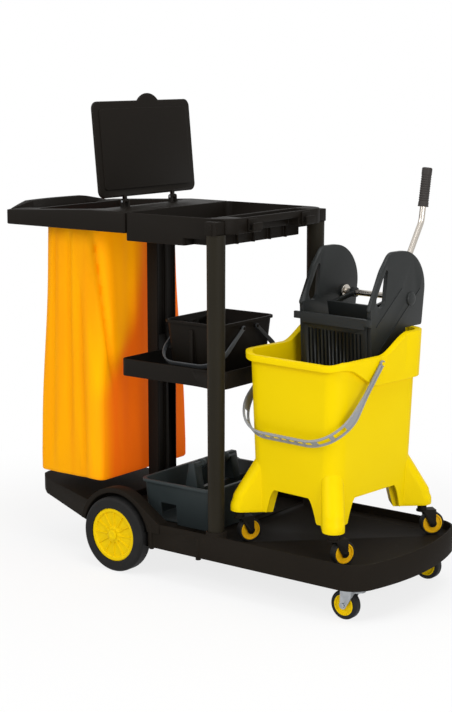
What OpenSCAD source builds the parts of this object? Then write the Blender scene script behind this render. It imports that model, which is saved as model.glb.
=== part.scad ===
// Janitor cart with a waste bag, shelves and a parked mop bucket with a down-press wringer.
// X runs forward to the mop bucket, Y runs across, Z is up, and the origin is on the floor
// under the middle of the cart. All sizes are in millimetres.

/* [Platform] */
// Width over the platform's rim
platform_w = 494; // [480:1:520]
// Height of the rim's top edge
rim_top = 152; // [148:1:158]
// Depth of the deck below the rim's top edge
deck_drop = 22; // [16:1:26]
// Thickness of the rim and the skirt
rim_t = 6; // [4:0.5:8]
// Thickness of the deck
deck_t = 6; // [4:0.5:8]
// Radius of the front corners
corner_r = 70; // [50:1:80]
// How far the front edge bows out
front_bow = 24; // [10:1:30]
// Height of the rear tail's top edge
tail_top = 182; // [170:1:190]
// Thickness of the rear tail's end
tail_t = 42; // [30:1:50]
// Distance from the rear axle back to the tail's end
tail_len = 395; // [380:1:410]
// Width of the rear tail's end
tail_w = 260; // [220:1:300]

/* [Rear wheels] */
// Diameter of the rear wheels
wheel_d = 203.2; // [195:0.2:206]
// Width of the rear wheels
wheel_w = 42; // [36:1:44]
// How far the rear wheels stand out past the rim
wheel_out = 15; // [8:1:30]
// Diameter of the wheel's disc inside its tyre
disc_d = 145; // [130:1:155]
// Diameter of the rear axle
axle_d = 16; // [12:0.5:20]
// Ribs on each wheel disc
disc_ribs = 12; // [8:1:16]
// Distance from the posts back to the rear axle
axle_back = 320; // [316:1:324]

/* [Front casters] */
// Diameter of the front caster wheels
caster_d = 75; // [70:0.5:76]
// Width of the front caster wheels
caster_w = 24; // [20:0.5:28]
// Trail of the front casters
caster_trail = 35; // [28:0.5:38]
// Distance of a caster's swivel from the front bumper
caster_inset = 67; // [62:1:80]
// Distance of a caster's swivel from the platform's side
caster_side = 48; // [44:1:60]
// Space between a caster's wheel and its fork's crown
caster_clear = 1.3; // [1:0.1:6]

/* [Posts and column] */
// Distance from the front bumper back to the posts
post_setback = 486; // [480:1:492]
// Distance of a post from the platform's side
post_inset = 25; // [22:0.5:32]
// Diameter of a post at its foot
post_foot_d = 42; // [38:0.5:43]
// Diameter of a post at its top
post_head_d = 48; // [44:0.5:50]
// Width of the rear column
column_w = 80; // [70:1:90]
// Thickness of the rear column
column_t = 36; // [32:1:40]
// Distance from the tray back to the column's middle
column_back = 62; // [50:1:68]

/* [Middle shelf] */
// Height of the shelf's rim
shelf_top = 572; // [560:1:584]
// Height of the shelf's walls
shelf_h = 46; // [40:1:54]
// Thickness of the shelf's walls
shelf_t = 5; // [4:0.5:7]

/* [Top tray] */
// Height of the tray's underside
tray_bottom = 891; // [880:1:900]
// Height of the tray
tray_h = 74; // [70:1:80]
// Distance that the tray runs behind the posts
tray_back = 297; // [280:1:320]
// Distance that the tray's rail runs in front of the posts
tray_front = 36; // [28:1:44]
// Height of the tray's front rail
rail_h = 40; // [34:1:46]
// Distance that the tray's full width stops behind the posts
step_back = 100; // [90:1:110]
// Width of the ribbed panel under the rail
panel_w = 364; // [350:1:380]
// Ribs on the panel under the rail
panel_ribs = 4; // [3:1:6]
// Thickness of the tray's walls
tray_t = 6; // [4:0.5:8]

/* [Bag frame and lid] */
// Width of the bag frame beside the bag's mouth
frame_side = 37; // [30:1:44]
// Distance from the bag back to the push handle's outer face
handle_reach = 125; // [110:1:150]
// Height of the bag frame's underside
frame_bottom = 910; // [906:1:914]
// Height of the frame's top at the push handle
frame_end_top = 947; // [942:1:952]
// Width of the lid
lid_w = 406; // [396:1:416]
// Height of the open lid above its hinge
lid_h = 267; // [250:1:272]
// Thickness of the lid
lid_t = 13; // [10:0.5:16]
// Lean of the open lid towards the bag, in degrees
lid_lean = 5.4; // [2:0.2:8]
// Height of the lid's hinge above the tray's top
hinge_up = 16; // [13:1:20]
// Diameter of the lid's hinge pins
hinge_d = 6; // [5:0.5:7]

/* [Waste bag] */
// Distance from the tray back to the bag's middle
bag_back = 238; // [234:1:244]
// Width of the bag at its widest
bag_w = 376; // [368:1:384]
// Depth of the bag from front to back
bag_l = 230; // [220:1:236]
// Height of the bag's bottom
bag_bottom = 221; // [210:1:240]
// Thickness of the bag's wall
bag_t = 3; // [2:0.5:4]

/* [Shelf bucket and caddy] */
// Length of the shelf bucket across the cart
pail_w = 253; // [240:1:260]
// Width of the shelf bucket along the cart
pail_l = 196; // [186:1:200]
// Height of the shelf bucket
pail_h = 147; // [135:1:150]
// Distance from the posts back to the shelf bucket's middle
pail_back = 150; // [145:1:155]
// Length of the caddy across the cart
caddy_w = 338; // [326:1:344]
// Width of the caddy along the cart
caddy_l = 246; // [238:1:248]
// Height of the caddy
caddy_h = 116; // [105:1:120]
// Distance from the posts back to the caddy's middle
caddy_back = 174; // [170:1:178]

/* [Mop bucket] */
// Width of the bucket at its rim
bucket_w = 336; // [328:1:340]
// Length of the bucket at its rim
bucket_l = 374; // [366:1:378]
// Height of the bucket's rim at its low end
bucket_rim = 490; // [476:1:500]
// Rise of the rim towards the wringer
bucket_rise = 60; // [50:1:66]
// Height of the bucket's floor
bucket_floor = 151; // [145:1:160]
// Thickness of the bucket's wall
bucket_t = 4; // [3:0.5:5]
// Distance from the posts forward to the parked bucket's middle
bucket_ahead = 216; // [213:1:219]
// Turn of the parked bucket on the deck, in degrees
bucket_yaw = -5.2; // [-6:0.2:-4]
// Spacing of the bucket's casters along its width
bucket_track = 308; // [304:1:310]
// Spacing of the bucket's casters along its length
bucket_base = 370; // [364:1:372]
// Diameter of the bucket's caster wheels
bucket_wheel_d = 62; // [58:0.5:64]
// Trail of the bucket's casters
bucket_trail = 27; // [24:0.5:28]
// Reach of the bail from its pivots
bail_reach = 258; // [250:1:266]

/* [Wringer] */
// Width over the wringer's cheeks
wringer_w = 230; // [214:1:240]
// Thickness of a cheek
cheek_t = 12; // [8:0.5:14]
// Slots in the wringer's front panel
wringer_slots = 15; // [11:1:17]
// Diameter of the wringer's shaft
shaft_d = 16; // [14:0.5:18]
// Diameter of the lever's tube
lever_d = 16; // [14:0.5:18]
// Diameter of the lever's grip
grip_d = 27; // [24:0.5:30]

/* [Hidden] */
$fn = 64;
eps = 0.01;
fit = 0.05;       // radial clearance of a running fit
gap = 0.3;        // clearance between pieces that only rest on each other
front_x = (post_setback + tray_back + bag_back + bag_l / 2 + handle_reach) / 2;
rear_x = -front_x;
post_x = front_x - post_setback;
axle_x = post_x - axle_back;
post_y = platform_w / 2 - post_inset;
tray_x0 = post_x - tray_back;
tray_x1 = post_x + tray_front;
column_x = tray_x0 - column_back;
deck_z = rim_top - deck_drop;
wheel_r = wheel_d / 2;
cap_t = 4;
wheel_end = platform_w / 2 + wheel_out;      // outer face of a rear wheel
wheel_y = wheel_end - wheel_w;               // inner face of a rear wheel
corner_y = platform_w / 2 - corner_r;
bow_r = (pow(corner_y, 2) + pow(front_bow, 2)) / (2 * front_bow);
bow_x = front_x - bow_r;
corner_x = bow_x + sqrt(pow(bow_r - corner_r, 2) - pow(corner_y, 2));

// Wheel arches
arch_clear = 10;
arch_t = 14;
arch_r = wheel_r + arch_clear + arch_t;
arch_out = platform_w / 2 + 3;
mid_half = wheel_y - 8;
mid_x0 = axle_x - arch_r;
wide_x0 = axle_x + wheel_r + arch_clear - 2;
tail_x = axle_x - tail_len;

// Posts and their sockets
post_foot_r = post_foot_d / 2;
post_head_r = post_head_d / 2;
socket_h = 9;

// Casters under the platform
plate_t = 3;
bearing_h = 4;
bearing_r = 19;
crown_t = 2.4;
leg_t = 2.5;
bolt_d = 8;
fork_gap = 1.5;
bolt_head = 4;
crown_z = caster_d + caster_clear;
plate_z = crown_z + crown_t + gap + bearing_h;
platform_bottom = plate_z + plate_t;
caster_y = platform_w / 2 - caster_side;
core_d = caster_d - 21;

// Top tray and bag frame
tray_w = 2 * post_y;
tray_top = tray_bottom + tray_h;
rail_z = tray_top - rail_h;
panel_x = post_x - post_head_r - gap;
step_x = post_x - step_back;
cap_half = post_head_r - 6;
cap_in = 20;
cap_top = tray_top - 6;
frame_over = 3;
frame_w = tray_w + 2 * frame_over;
mouth_w = frame_w - 2 * frame_side;
bag_x = tray_x0 - bag_back;
bag_top = frame_bottom - gap;
hinge_x = bag_x + bag_l / 2 + 20;
hinge_y = lid_w / 4;
hinge_z = tray_top + hinge_up;
lug_t = 7;
arm_t = 12;

// Shelf
shelf_x0 = column_x + column_t / 2;
shelf_x1 = post_x + 6;
shelf_w = 2 * (post_y - post_head_r);
shelf_floor = shelf_top - shelf_h + shelf_t;

// Shelf bucket, caddy and mop bucket places
pail_x = post_x - pail_back;
pail_y = -10;
pail_pivot = pail_h - 18;
pail_pin_y = 30;
pail_pin_d = 8;
pail_lean = 52;
caddy_x = post_x - caddy_back;
caddy_y = -9;
caddy_wall = caddy_h - 30;
bucket_x = post_x + bucket_ahead;
bucket_y = -12;
bucket_z = deck_z + gap;
bucket_wheel_w = 20;
bucket_bolt = 8;
bucket_core_d = bucket_wheel_d - 10;
bucket_crown = bucket_wheel_d + 2;
leg_z = bucket_crown + 21;
foot_r = 24;
foot_len = 52;
rim_over = 14;
pivot_z = bucket_rim - 4;
pivot_y = -22;
pivot_d = 10;
bail_t = 6;
bail_w = 22;
bail_out = 8.64;         // how far the bail's grip rests outside the rim
bail_angle = asin((bucket_l / 2 + bail_out + pivot_y) / bail_reach);
sweep_y0 = -10;
sweep_y1 = 106;
sweep_n = 8;
shoulder_y = -150;
shoulder_up = 12;
band_h = 16;
band_low = 60;
band_y0 = -150;
band_y1 = 40;
caster_rest = [-23, -19, -75, -35];
caster_spot = [[-1, -1], [1, -1], [-1, 1], [1, 1]];

// Wringer, in the bucket's own axes
shaft_up = 71.7;
basket_drop = 130;
panel_up = 36.7;
panel_reach = 170;
saddle_z = bucket_rim + bucket_rise + gap;
shaft_y = bucket_l / 2 - 17;
shaft_z = saddle_z + shaft_up;
basket_z = saddle_z - basket_drop;
panel_top = saddle_z + panel_up;
panel_y = shaft_y - panel_reach;
boss_t = 3;
collar_t = 6;
lever_hub = 16;
collar_x = wringer_w / 2 - cheek_t - boss_t - gap - collar_t;
lever_x = collar_x - gap - lever_hub / 2;
panel_t = 4;
collar_r = 18;
nose_up = 24;
presser_rest = 12;
lever_lean = 14.2;
lever_kick = 17.4;
lever_back = 5.2;
lever_low = 102;
lever_mid = 107;
lever_top = 134;

black = [0.13, 0.12, 0.11];
charcoal = [0.22, 0.23, 0.23];
yellow = [0.96, 0.84, 0.0];
zinc = [0.72, 0.73, 0.74];
silver = [0.6, 0.61, 0.62];

// A box between two corners
module block(a, b) {
    translate(a) cube(b - a);
}

// A rounded rectangle about the origin
module rounded(l, w, r) {
    square([l - 2 * r, w], center = true);
    square([l, w - 2 * r], center = true);
    for (i = [-1, 1], j = [-1, 1]) {
        translate([i * (l / 2 - r), j * (w / 2 - r)]) circle(r);
    }
}

// A thin rounded slab, used as one end of a tapered hull
module slab(l, w, r, z) {
    translate([0, 0, z]) linear_extrude(eps) rounded(l, w, r, $fn = 32);
}

// A profile in Y and Z, drawn from x0 to x1
module along_x(x0, x1) {
    translate([x0, 0, 0]) rotate([90, 0, 90]) linear_extrude(x1 - x0) children();
}

// A profile in X and Z, drawn from y0 to y1
module along_y(y0, y1) {
    translate([0, y1, 0]) rotate([90, 0, 0]) linear_extrude(y1 - y0) children();
}

// A rod along Y between two places
module rod_y(d, y0, y1) {
    translate([0, y1, 0]) rotate([90, 0, 0]) cylinder(d = d, h = y1 - y0);
}

// A rod along X between two places
module rod_x(d, x0, x1) {
    translate([x0, 0, 0]) rotate([0, 90, 0]) cylinder(d = d, h = x1 - x0);
}

// Points of an arc about a centre, from one angle to another
function arc_points(centre, r, from, to, n) =
    [for (i = [0:n]) centre + r * [cos(from + (to - from) * i / n), sin(from + (to - from) * i / n)]];

// Plan of the platform's tub, drawn in by an inset: straight sides, round corners and a bowed front
module tub_plan(inset) {
    half = platform_w / 2 - inset;
    meet = atan2(corner_y, corner_x - bow_x);
    corner_n = 16;
    bow_n = 24;
    polygon(concat([[wide_x0 + inset, half], [wide_x0 + inset, -half]],
        arc_points([corner_x, -corner_y], corner_r - inset, -90, -meet, corner_n),
        arc_points([bow_x, 0], bow_r - inset, meet / bow_n - meet, meet - meet / bow_n, bow_n),
        arc_points([corner_x, corner_y], corner_r - inset, meet, 90, corner_n)));
    translate([mid_x0 + inset, inset - mid_half])
        square([wide_x0 - mid_x0 + inset, 2 * (mid_half - inset)]);
}

// Plan of the tail under the bag, narrowing to the rear
module tail_plan() {
    r = 40;
    root = mid_half - 20;
    slope = (root - tail_w / 2) / (mid_x0 + rim_t - tail_x);
    polygon([[mid_x0 + rim_t, -root],
        [mid_x0 + rim_t, root],
        [tail_x + r, tail_w / 2 + slope * r],
        for (a = [30, 60]) [tail_x + r - r * sin(a), tail_w / 2 - r + r * cos(a)],
        [tail_x, tail_w / 2 - r],
        [tail_x, r - tail_w / 2],
        for (a = [60, 30]) [tail_x + r - r * sin(a), r - tail_w / 2 - r * cos(a)],
        [tail_x + r, -tail_w / 2 - slope * r]]);
}

// A wheel arch, open to the outside and below
module arch(s) {
    lip = 25;
    run = 26;
    mirror([0, s < 0 ? 1 : 0, 0]) translate([axle_x, 0, wheel_r]) difference() {
        along_y(mid_half - eps, arch_out) intersection() {
            union() {
                circle(arch_r);
                polygon([[0, 0], [0, arch_r], [arch_r * sin(30), arch_r * cos(30)],
                    [arch_r + run, rim_top - wheel_r], [arch_r + run, 0]]);
            }
            translate([-arch_r, lip]) square([2 * arch_r + run, arch_r]);
        }
        along_y(wheel_y - 4, arch_out + 1) circle(arch_r - arch_t);
    }
}

module base_platform() {
    caster_pad = 64;
    axle_boss = 14;
    boss_len = 30;
    socket_t = 6;
    lug_r = 7;
    lug_in = 3;
    lug_down = 5;
    lug_h = rim_top - platform_bottom - 8;
    color(black) difference() {
        union() {
            difference() {
                translate([0, 0, platform_bottom]) linear_extrude(rim_top - platform_bottom) tub_plan(0);
                translate([0, 0, deck_z]) linear_extrude(rim_top) tub_plan(rim_t);
                translate([0, 0, platform_bottom - 1])
                    linear_extrude(deck_z - deck_t - platform_bottom + 1) tub_plan(rim_t);
            }
            intersection() {
                translate([0, 0, platform_bottom]) linear_extrude(tail_top) tail_plan();
                along_y(-mid_half, mid_half) polygon([[mid_x0 + rim_t, platform_bottom],
                    [mid_x0 + rim_t, rim_top], [tail_x, tail_top], [tail_x, tail_top - tail_t]]);
            }
            for (s = [-1, 1]) {
                arch(s);
                translate([0, 0, platform_bottom]) linear_extrude(deck_z - platform_bottom) intersection() {
                    translate([front_x - caster_inset, s * caster_y]) square(caster_pad, center = true);
                    tub_plan(rim_t / 2);
                }
                translate([axle_x, 0, wheel_r]) mirror([0, s < 0 ? 1 : 0, 0])
                    rod_y(axle_d + axle_boss, mid_half - boss_len, mid_half - eps);
                intersection() {
                    translate([post_x, s * post_y, deck_z - deck_t])
                        cylinder(r = post_foot_r + socket_t, h = rim_top + socket_h - deck_z + deck_t);
                    block([wide_x0, -platform_w / 2, 0], [front_x, platform_w / 2, rim_top + socket_h]);
                }
                for (x = [wide_x0 + 2 * lug_r - 2, post_x - post_foot_d]) {
                    translate([x, s * (platform_w / 2 - lug_in), platform_bottom - lug_down])
                        cylinder(r = lug_r, h = lug_h);
                }
            }
        }
        for (s = [-1, 1]) {
            translate([post_x, s * post_y, deck_z]) cylinder(r = post_foot_r + gap, h = rim_top);
        }
        translate([axle_x, 0, wheel_r]) rod_y(axle_d + 2 * fit, -platform_w / 2, platform_w / 2);
    }
}

module rear_axle() {
    color(zinc) translate([axle_x, 0, wheel_r]) rod_y(axle_d, -wheel_end, wheel_end);
}

// Turns a wheel's profile, drawn as radius and width, about the Y axis on side s
module wheel_at(s) {
    mirror([0, s < 0 ? 1 : 0, 0]) translate([axle_x, wheel_y, wheel_r]) rotate([-90, 0, 0]) children();
}

module tyre(s) {
    r0 = disc_d / 2 + fit;
    soft = 9;
    color(black) wheel_at(s) rotate_extrude($fn = 128) {
        translate([r0, 0]) square([wheel_r - soft - r0, wheel_w]);
        translate([wheel_r - soft - 1, soft]) square([soft + 1, wheel_w - 2 * soft]);
        for (z = [soft, wheel_w - soft]) {
            translate([wheel_r - soft, z]) circle(soft);
        }
    }
}

module disc(s) {
    r = disc_d / 2;
    hub_r = axle_d / 2 + 12;
    ring = 9;
    web = 8;
    face = wheel_w - 2;
    rib_t = 4;
    color(yellow) wheel_at(s) difference() {
        union() {
            difference() {
                cylinder(r = r, h = face);
                translate([0, 0, face - web]) cylinder(r = r - ring, h = wheel_w);
                translate([0, 0, -1]) cylinder(r = r - ring, h = wheel_w - 2 * web - 1);
            }
            translate([0, 0, rib_t]) cylinder(r = hub_r, h = wheel_w - rib_t);
            for (i = [0:disc_ribs - 1]) {
                rotate(i * 360 / disc_ribs)
                    block([hub_r - 3, -rib_t / 2, wheel_w - 2 * web],
                        [r - ring + 1, rib_t / 2, wheel_w - rib_t]);
            }
        }
        translate([0, 0, -1]) cylinder(d = axle_d + 2 * fit, h = wheel_w + 2);
    }
}

module hub_cap(s) {
    cap_r = axle_d / 2 + 6;
    color(yellow) wheel_at(s) translate([0, 0, wheel_w + gap]) cylinder(r = cap_r, h = cap_t - gap);
}

// Turns a front caster's parts about its swivel
module caster_at(s) {
    translate([front_x - caster_inset, s * caster_y, 0]) children();
}

module caster_plate(s) {
    plate = 44;
    color(zinc) caster_at(s) {
        translate([-plate / 2, -plate / 2, plate_z]) cube([plate, plate, plate_t]);
        translate([0, 0, plate_z - bearing_h]) cylinder(r = bearing_r, h = bearing_h);
    }
}

// The legs of a caster's fork: trail, wheel radius, wheel width, crown underside, crown and leg thickness
module fork_shape(trail, r, w, crown, top_t, side_t, top_r, bolt) {
    inner = w / 2 + fork_gap;
    tip = 8;
    eye = bolt + 2;
    translate([0, 0, crown]) linear_extrude(top_t) {
        circle(top_r);
        translate([-trail - tip, -inner - side_t]) square([trail + tip, 2 * (inner + side_t)]);
    }
    for (s = [-1, 1]) {
        mirror([0, s < 0 ? 1 : 0, 0]) along_y(inner, inner + side_t) difference() {
            union() {
                polygon([[-trail - tip, crown + eps], [0, crown + eps],
                    [tip - trail, r - tip + 2], [-trail - tip, r - tip + 2]]);
                translate([-trail, r]) circle(eye);
            }
            translate([-trail, r]) circle(d = bolt + 2 * fit);
        }
    }
}

module caster_fork(s) {
    color(zinc) caster_at(s)
        fork_shape(caster_trail, caster_d / 2, caster_w, crown_z, crown_t, leg_t, bearing_r, bolt_d);
}

// A small wheel's tread and core about its own axle, along Y
module tread_shape(d, core, w) {
    soft = (d - core) / 4 - fit;
    rotate([-90, 0, 0]) rotate_extrude() {
        translate([core / 2 + fit, -w / 2]) square([d / 2 - soft - core / 2 - fit, w]);
        translate([d / 2 - soft - 1, soft - w / 2]) square([soft + 1, w - 2 * soft]);
        for (z = [-1, 1]) {
            translate([d / 2 - soft, z * (w / 2 - soft)]) circle(soft, $fn = 32);
        }
    }
}

module core_shape(core, w, bolt) {
    dish = 3;
    rim = 4;
    hub_t = 5;
    rotate([-90, 0, 0]) difference() {
        translate([0, 0, -w / 2]) cylinder(d = core, h = w);
        for (z = [-w, w / 2 - dish]) {
            translate([0, 0, z]) difference() {
                cylinder(r = core / 2 - rim, h = w / 2 + dish);
                translate([0, 0, -1]) cylinder(r = bolt / 2 + hub_t, h = w + dish);
            }
        }
        translate([0, 0, -w]) cylinder(d = bolt + 2 * fit, h = 2 * w);
    }
}

module caster_tread(s) {
    color(black) caster_at(s) translate([-caster_trail, 0, caster_d / 2])
        tread_shape(caster_d, core_d, caster_w);
}

module caster_core(s) {
    color(yellow) caster_at(s) translate([-caster_trail, 0, caster_d / 2])
        core_shape(core_d, caster_w, bolt_d);
}

module caster_bolt(s) {
    half = caster_w / 2 + fork_gap + leg_t;
    color(zinc) caster_at(s) translate([-caster_trail, 0, caster_d / 2]) {
        rod_y(bolt_d, -half, half);
        for (e = [-1, 1]) {
            mirror([0, e < 0 ? 1 : 0, 0]) translate([0, half + bolt_head, 0]) rotate([90, 0, 0])
                cylinder(d = bolt_d + 5, h = bolt_head, $fn = 6);
        }
    }
}

// A post's tapered body, with some clearance round it
module post_body(s, clear) {
    translate([post_x, s * post_y, deck_z])
        cylinder(r1 = post_foot_r + clear, r2 = post_head_r + clear, h = rail_z - deck_z);
}

module post(s) {
    color([0.2, 0.19, 0.17]) post_body(s, 0);
}

// The clip on a post's head, let into the end of the tray's rail
module post_cap(s) {
    out = post_y + post_head_r - tray_w / 2;
    rib_half = 6;
    rib_out = 3;
    color(black) translate([post_x, s * tray_w / 2, 0]) mirror([0, s < 0 ? 1 : 0, 0]) {
        block([-cap_half, -cap_in, rail_z], [cap_half, out, cap_top]);
        block([-rib_half, out - eps, rail_z], [rib_half, out + rib_out, cap_top - rib_half]);
    }
}

module rear_column() {
    rib = 6;
    flute = column_w / 2 - 2 * rib;
    margin = 40;
    color(black) translate([column_x, 0, 0]) difference() {
        block([-column_t / 2, -column_w / 2, deck_z], [column_t / 2, column_w / 2, frame_bottom]);
        for (y = [-1, 1]) {
            translate([column_t / 2 - rib, y * column_w / 4 - flute / 2, shelf_top + margin])
                cube([rib + 1, flute, frame_bottom - shelf_top - 2 * margin]);
            translate([column_t / 2 - rib, y * column_w / 4 - flute / 2, deck_z + margin])
                cube([rib + 1, flute, shelf_top - shelf_h - deck_z - 2 * margin]);
        }
        block([-column_t / 2 - 1, -column_w / 2 + rib, deck_z + margin],
            [column_t / 2 - 2 * rib, column_w / 2 - rib, frame_bottom - margin]);
    }
}

module mid_shelf() {
    z0 = shelf_top - shelf_h;
    length = shelf_x1 - shelf_x0;
    corner = 20;
    flare = 100;
    flare_end = 20;
    color(black) difference() {
        union() {
            translate([(shelf_x0 + shelf_x1) / 2, 0, z0]) difference() {
                linear_extrude(shelf_h) rounded(length, shelf_w, corner);
                translate([0, 0, shelf_t]) linear_extrude(shelf_h)
                    rounded(length - 2 * shelf_t, shelf_w - 2 * shelf_t, corner - shelf_t);
            }
            for (s = [-1, 1]) {
                translate([post_x, 0, z0]) mirror([0, s < 0 ? 1 : 0, 0]) linear_extrude(shelf_h - shelf_t)
                    polygon([[-flare, shelf_w / 2 - shelf_t],
                        for (a = [0:15:90]) [(flare - flare_end) * sin(a) - flare,
                            shelf_w / 2 + (post_y - shelf_w / 2) * (1 - cos(a))],
                        [shelf_x1 - post_x - corner, post_y],
                        [shelf_x1 - post_x - corner, shelf_w / 2 - shelf_t]]);
            }
        }
        for (s = [-1, 1]) {
            post_body(s, gap);
        }
    }
}

// Plan of the tray between two X places, with round corners at both ends
module tray_plan(x0, x1, w, r) {
    translate([(x0 + x1) / 2, 0]) rounded(x1 - x0, w, r);
}

module top_tray() {
    rail = 56;
    floor_z = tray_bottom + 26;
    corner = 24;
    rail_corner = 50;
    step_corner = 8;
    pocket_side = 70;
    pocket_d = 12;
    grip_half = 90;
    grip_d = 34;
    grip_up = 22;
    rib_t = 6;
    rib_out = 8;
    under = 40;
    panel_pitch = (panel_w - rib_t) / (panel_ribs + 1);
    color(black) {
        difference() {
            union() {
                translate([0, 0, tray_bottom]) linear_extrude(tray_h)
                    tray_plan(tray_x0, step_x, tray_w, step_corner);
                translate([0, 0, tray_bottom]) linear_extrude(tray_h)
                    tray_plan(tray_x0 + corner, panel_x, panel_w, step_corner);
                translate([0, 0, floor_z - tray_t]) linear_extrude(tray_top - floor_z + tray_t)
                    tray_plan(tray_x0 + corner, panel_x, tray_w, step_corner);
                translate([0, 0, rail_z]) linear_extrude(rail_h)
                    tray_plan(tray_x0 + corner, tray_x1, tray_w, rail_corner);
            }
            translate([0, 0, floor_z]) linear_extrude(tray_h)
                tray_plan(tray_x0 + tray_t, tray_x1 - rail - tray_t, tray_w - 2 * tray_t, corner - tray_t);
            block([tray_x1 - rail, pocket_side - tray_w / 2, tray_top - pocket_d],
                [tray_x1 - tray_t, tray_w / 2 - pocket_side, tray_top + 1]);
            block([tray_x1 - grip_d, -grip_half, rail_z - 1], [tray_x1 + 1, grip_half, rail_z + grip_up]);
            block([tray_x0 + under, under / 4 - panel_w / 2, tray_bottom - 1],
                [panel_x - under / 4, panel_w / 2 - under / 4, floor_z - tray_t]);
            for (s = [-1, 1]) {
                translate([post_x, s * tray_w / 2, 0]) mirror([0, s < 0 ? 1 : 0, 0])
                    block([-cap_half, -cap_in, rail_z - 1], [cap_half, tray_w, cap_top]);
            }
        }
        for (i = [1:panel_ribs]) {
            translate([panel_x - eps, i * panel_pitch - panel_w / 2, tray_bottom])
                cube([rib_out, rib_t, rail_z - tray_bottom]);
        }
    }
}

// Two tool hooks on the front of the tray's rail, at the ends of its grip
module tray_hooks() {
    out_y = 119;
    half = 20;
    reach = 20;
    t = 5;
    foot = 2;
    tip = 26;
    top = 36;
    color(black) for (s = [-1, 1]) {
        translate([tray_x1, s * out_y, rail_z]) along_y(-half, half)
            polygon([[0, foot], [reach - 6, foot], [reach, foot + 6], [reach, tip], [reach - t, tip],
                [reach - t, foot + 8], [reach - 8, foot + t], [t, foot + t], [t, top], [0, top]]);
    }
}

module bag_frame() {
    r = 26;
    open_l = bag_l - 24;
    open_w = mouth_w - 28;
    grip_t = 30;
    grip_x1 = bag_x - bag_l / 2 - 16;
    grip_side = 75;
    root = 8;
    bow = 40;
    sag_r = (pow(frame_w / 2 - r, 2) + bow * bow) / (2 * bow);
    raise = 18;
    color(black) difference() {
        union() {
            intersection() {
                translate([0, 0, frame_bottom]) linear_extrude(tray_top - frame_bottom) intersection() {
                    translate([(rear_x + bow + tray_x0) / 2 + r - bow / 2, 0])
                        rounded(tray_x0 - rear_x + 2 * r, frame_w, r);
                    translate([rear_x, -frame_w / 2]) square([tray_x0 - rear_x, frame_w]);
                    translate([rear_x + sag_r, 0]) circle(sag_r, $fn = 256);
                }
                union() {
                    along_y(-frame_w, frame_w) polygon([[rear_x, frame_bottom], [tray_x0, frame_bottom],
                        [tray_x0, tray_top], [hinge_x - r, tray_top], [rear_x, frame_end_top]]);
                    along_x(rear_x, rear_x + grip_t + r / 2)
                        polygon([[-frame_w / 2, frame_bottom], [frame_w / 2, frame_bottom],
                        [frame_w / 2 - r / 2, frame_end_top], [frame_w / 4, frame_end_top + raise],
                        [-frame_w / 4, frame_end_top + raise], [r / 2 - frame_w / 2, frame_end_top]]);
                }
            }
            for (s = [-1, 1], e = [-1, 1]) {
                translate([hinge_x, s * hinge_y + e * (arm_t / 2 + gap + lug_t / 2), 0])
                    along_y(-lug_t / 2, lug_t / 2) {
                        translate([0, hinge_z]) circle(hinge_d);
                        translate([-hinge_d, tray_top - root])
                            square([2 * hinge_d, hinge_z - tray_top + root]);
                    }
            }
        }
        translate([bag_x, 0, 0]) linear_extrude(tray_top) rounded(open_l, open_w, r + 4);
        translate([bag_x, 0, frame_bottom + root]) linear_extrude(tray_top)
            rounded(bag_l + 4, mouth_w + 8, r + 10);
        linear_extrude(tray_top) intersection() {
            translate([(rear_x + grip_x1) / 2, 0])
                rounded(grip_x1 - rear_x, frame_w - 2 * grip_side, r / 2);
            translate([rear_x + sag_r, 0]) circle(sag_r - grip_t, $fn = 256);
        }
        translate([hinge_x, 0, hinge_z]) rod_y(hinge_d + 2 * fit, -frame_w / 2, frame_w / 2);
    }
}

// The lid lies in its own axes: hinge along Y at the origin, panel standing up Z
module lid_at() {
    translate([hinge_x, 0, hinge_z]) rotate([0, -lid_lean, 0]) children();
}

module bag_lid() {
    foot = 12;
    border = 20;
    step = 3;
    tab_r = 56;
    tab_out = 19;
    tab_y = 26;
    corner = 20;
    arm_half = 4;
    color(black) lid_at() difference() {
        union() {
            translate([0, 0, (lid_h + foot) / 2]) rotate([0, 90, 0]) {
                translate([0, 0, -lid_t / 2]) linear_extrude(lid_t - step)
                    rounded(lid_h - foot, lid_w, corner);
                translate([0, 0, lid_t / 2 - step - eps]) linear_extrude(step)
                    rounded(lid_h - foot - 2 * border, lid_w - 2 * border, corner / 2);
            }
            translate([-lid_t / 2, tab_y, lid_h + tab_out - tab_r]) rotate([0, 90, 0])
                cylinder(r = tab_r, h = lid_t - step);
            for (s = [-1, 1]) {
                translate([0, s * hinge_y, 0]) {
                    rod_y(2 * hinge_d, -arm_t / 2, arm_t / 2);
                    block([-arm_half, -arm_t / 2, 0], [arm_half, arm_t / 2, foot + 6]);
                }
            }
        }
        rod_y(hinge_d + 2 * fit, -lid_w / 2, lid_w / 2);
    }
}

module lid_pins() {
    half = arm_t / 2 + gap + lug_t;
    color(zinc) for (s = [-1, 1]) {
        translate([hinge_x, s * hinge_y, hinge_z]) rod_y(hinge_d, -half, half);
    }
}

// The bag hangs open under the frame and widens a little to its bottom
module waste_bag() {
    r = 34;
    draw_in = 24;
    tuck = 20;
    swell = bag_bottom + 30;
    color([0.98, 0.68, 0.0]) translate([bag_x, 0, 0]) difference() {
        hull() {
            slab(bag_l - draw_in, mouth_w - draw_in, r, bag_top - eps);
            slab(bag_l, bag_w, r, swell);
            slab(bag_l - tuck, bag_w - tuck, r, bag_bottom);
        }
        hull() {
            slab(bag_l - draw_in - 2 * bag_t, mouth_w - draw_in - 2 * bag_t, r - bag_t, bag_top + 1);
            slab(bag_l - 2 * bag_t, bag_w - 2 * bag_t, r - bag_t, swell);
            slab(bag_l - tuck - 2 * bag_t, bag_w - tuck - 2 * bag_t, r - bag_t, bag_bottom + bag_t);
        }
    }
}

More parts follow.
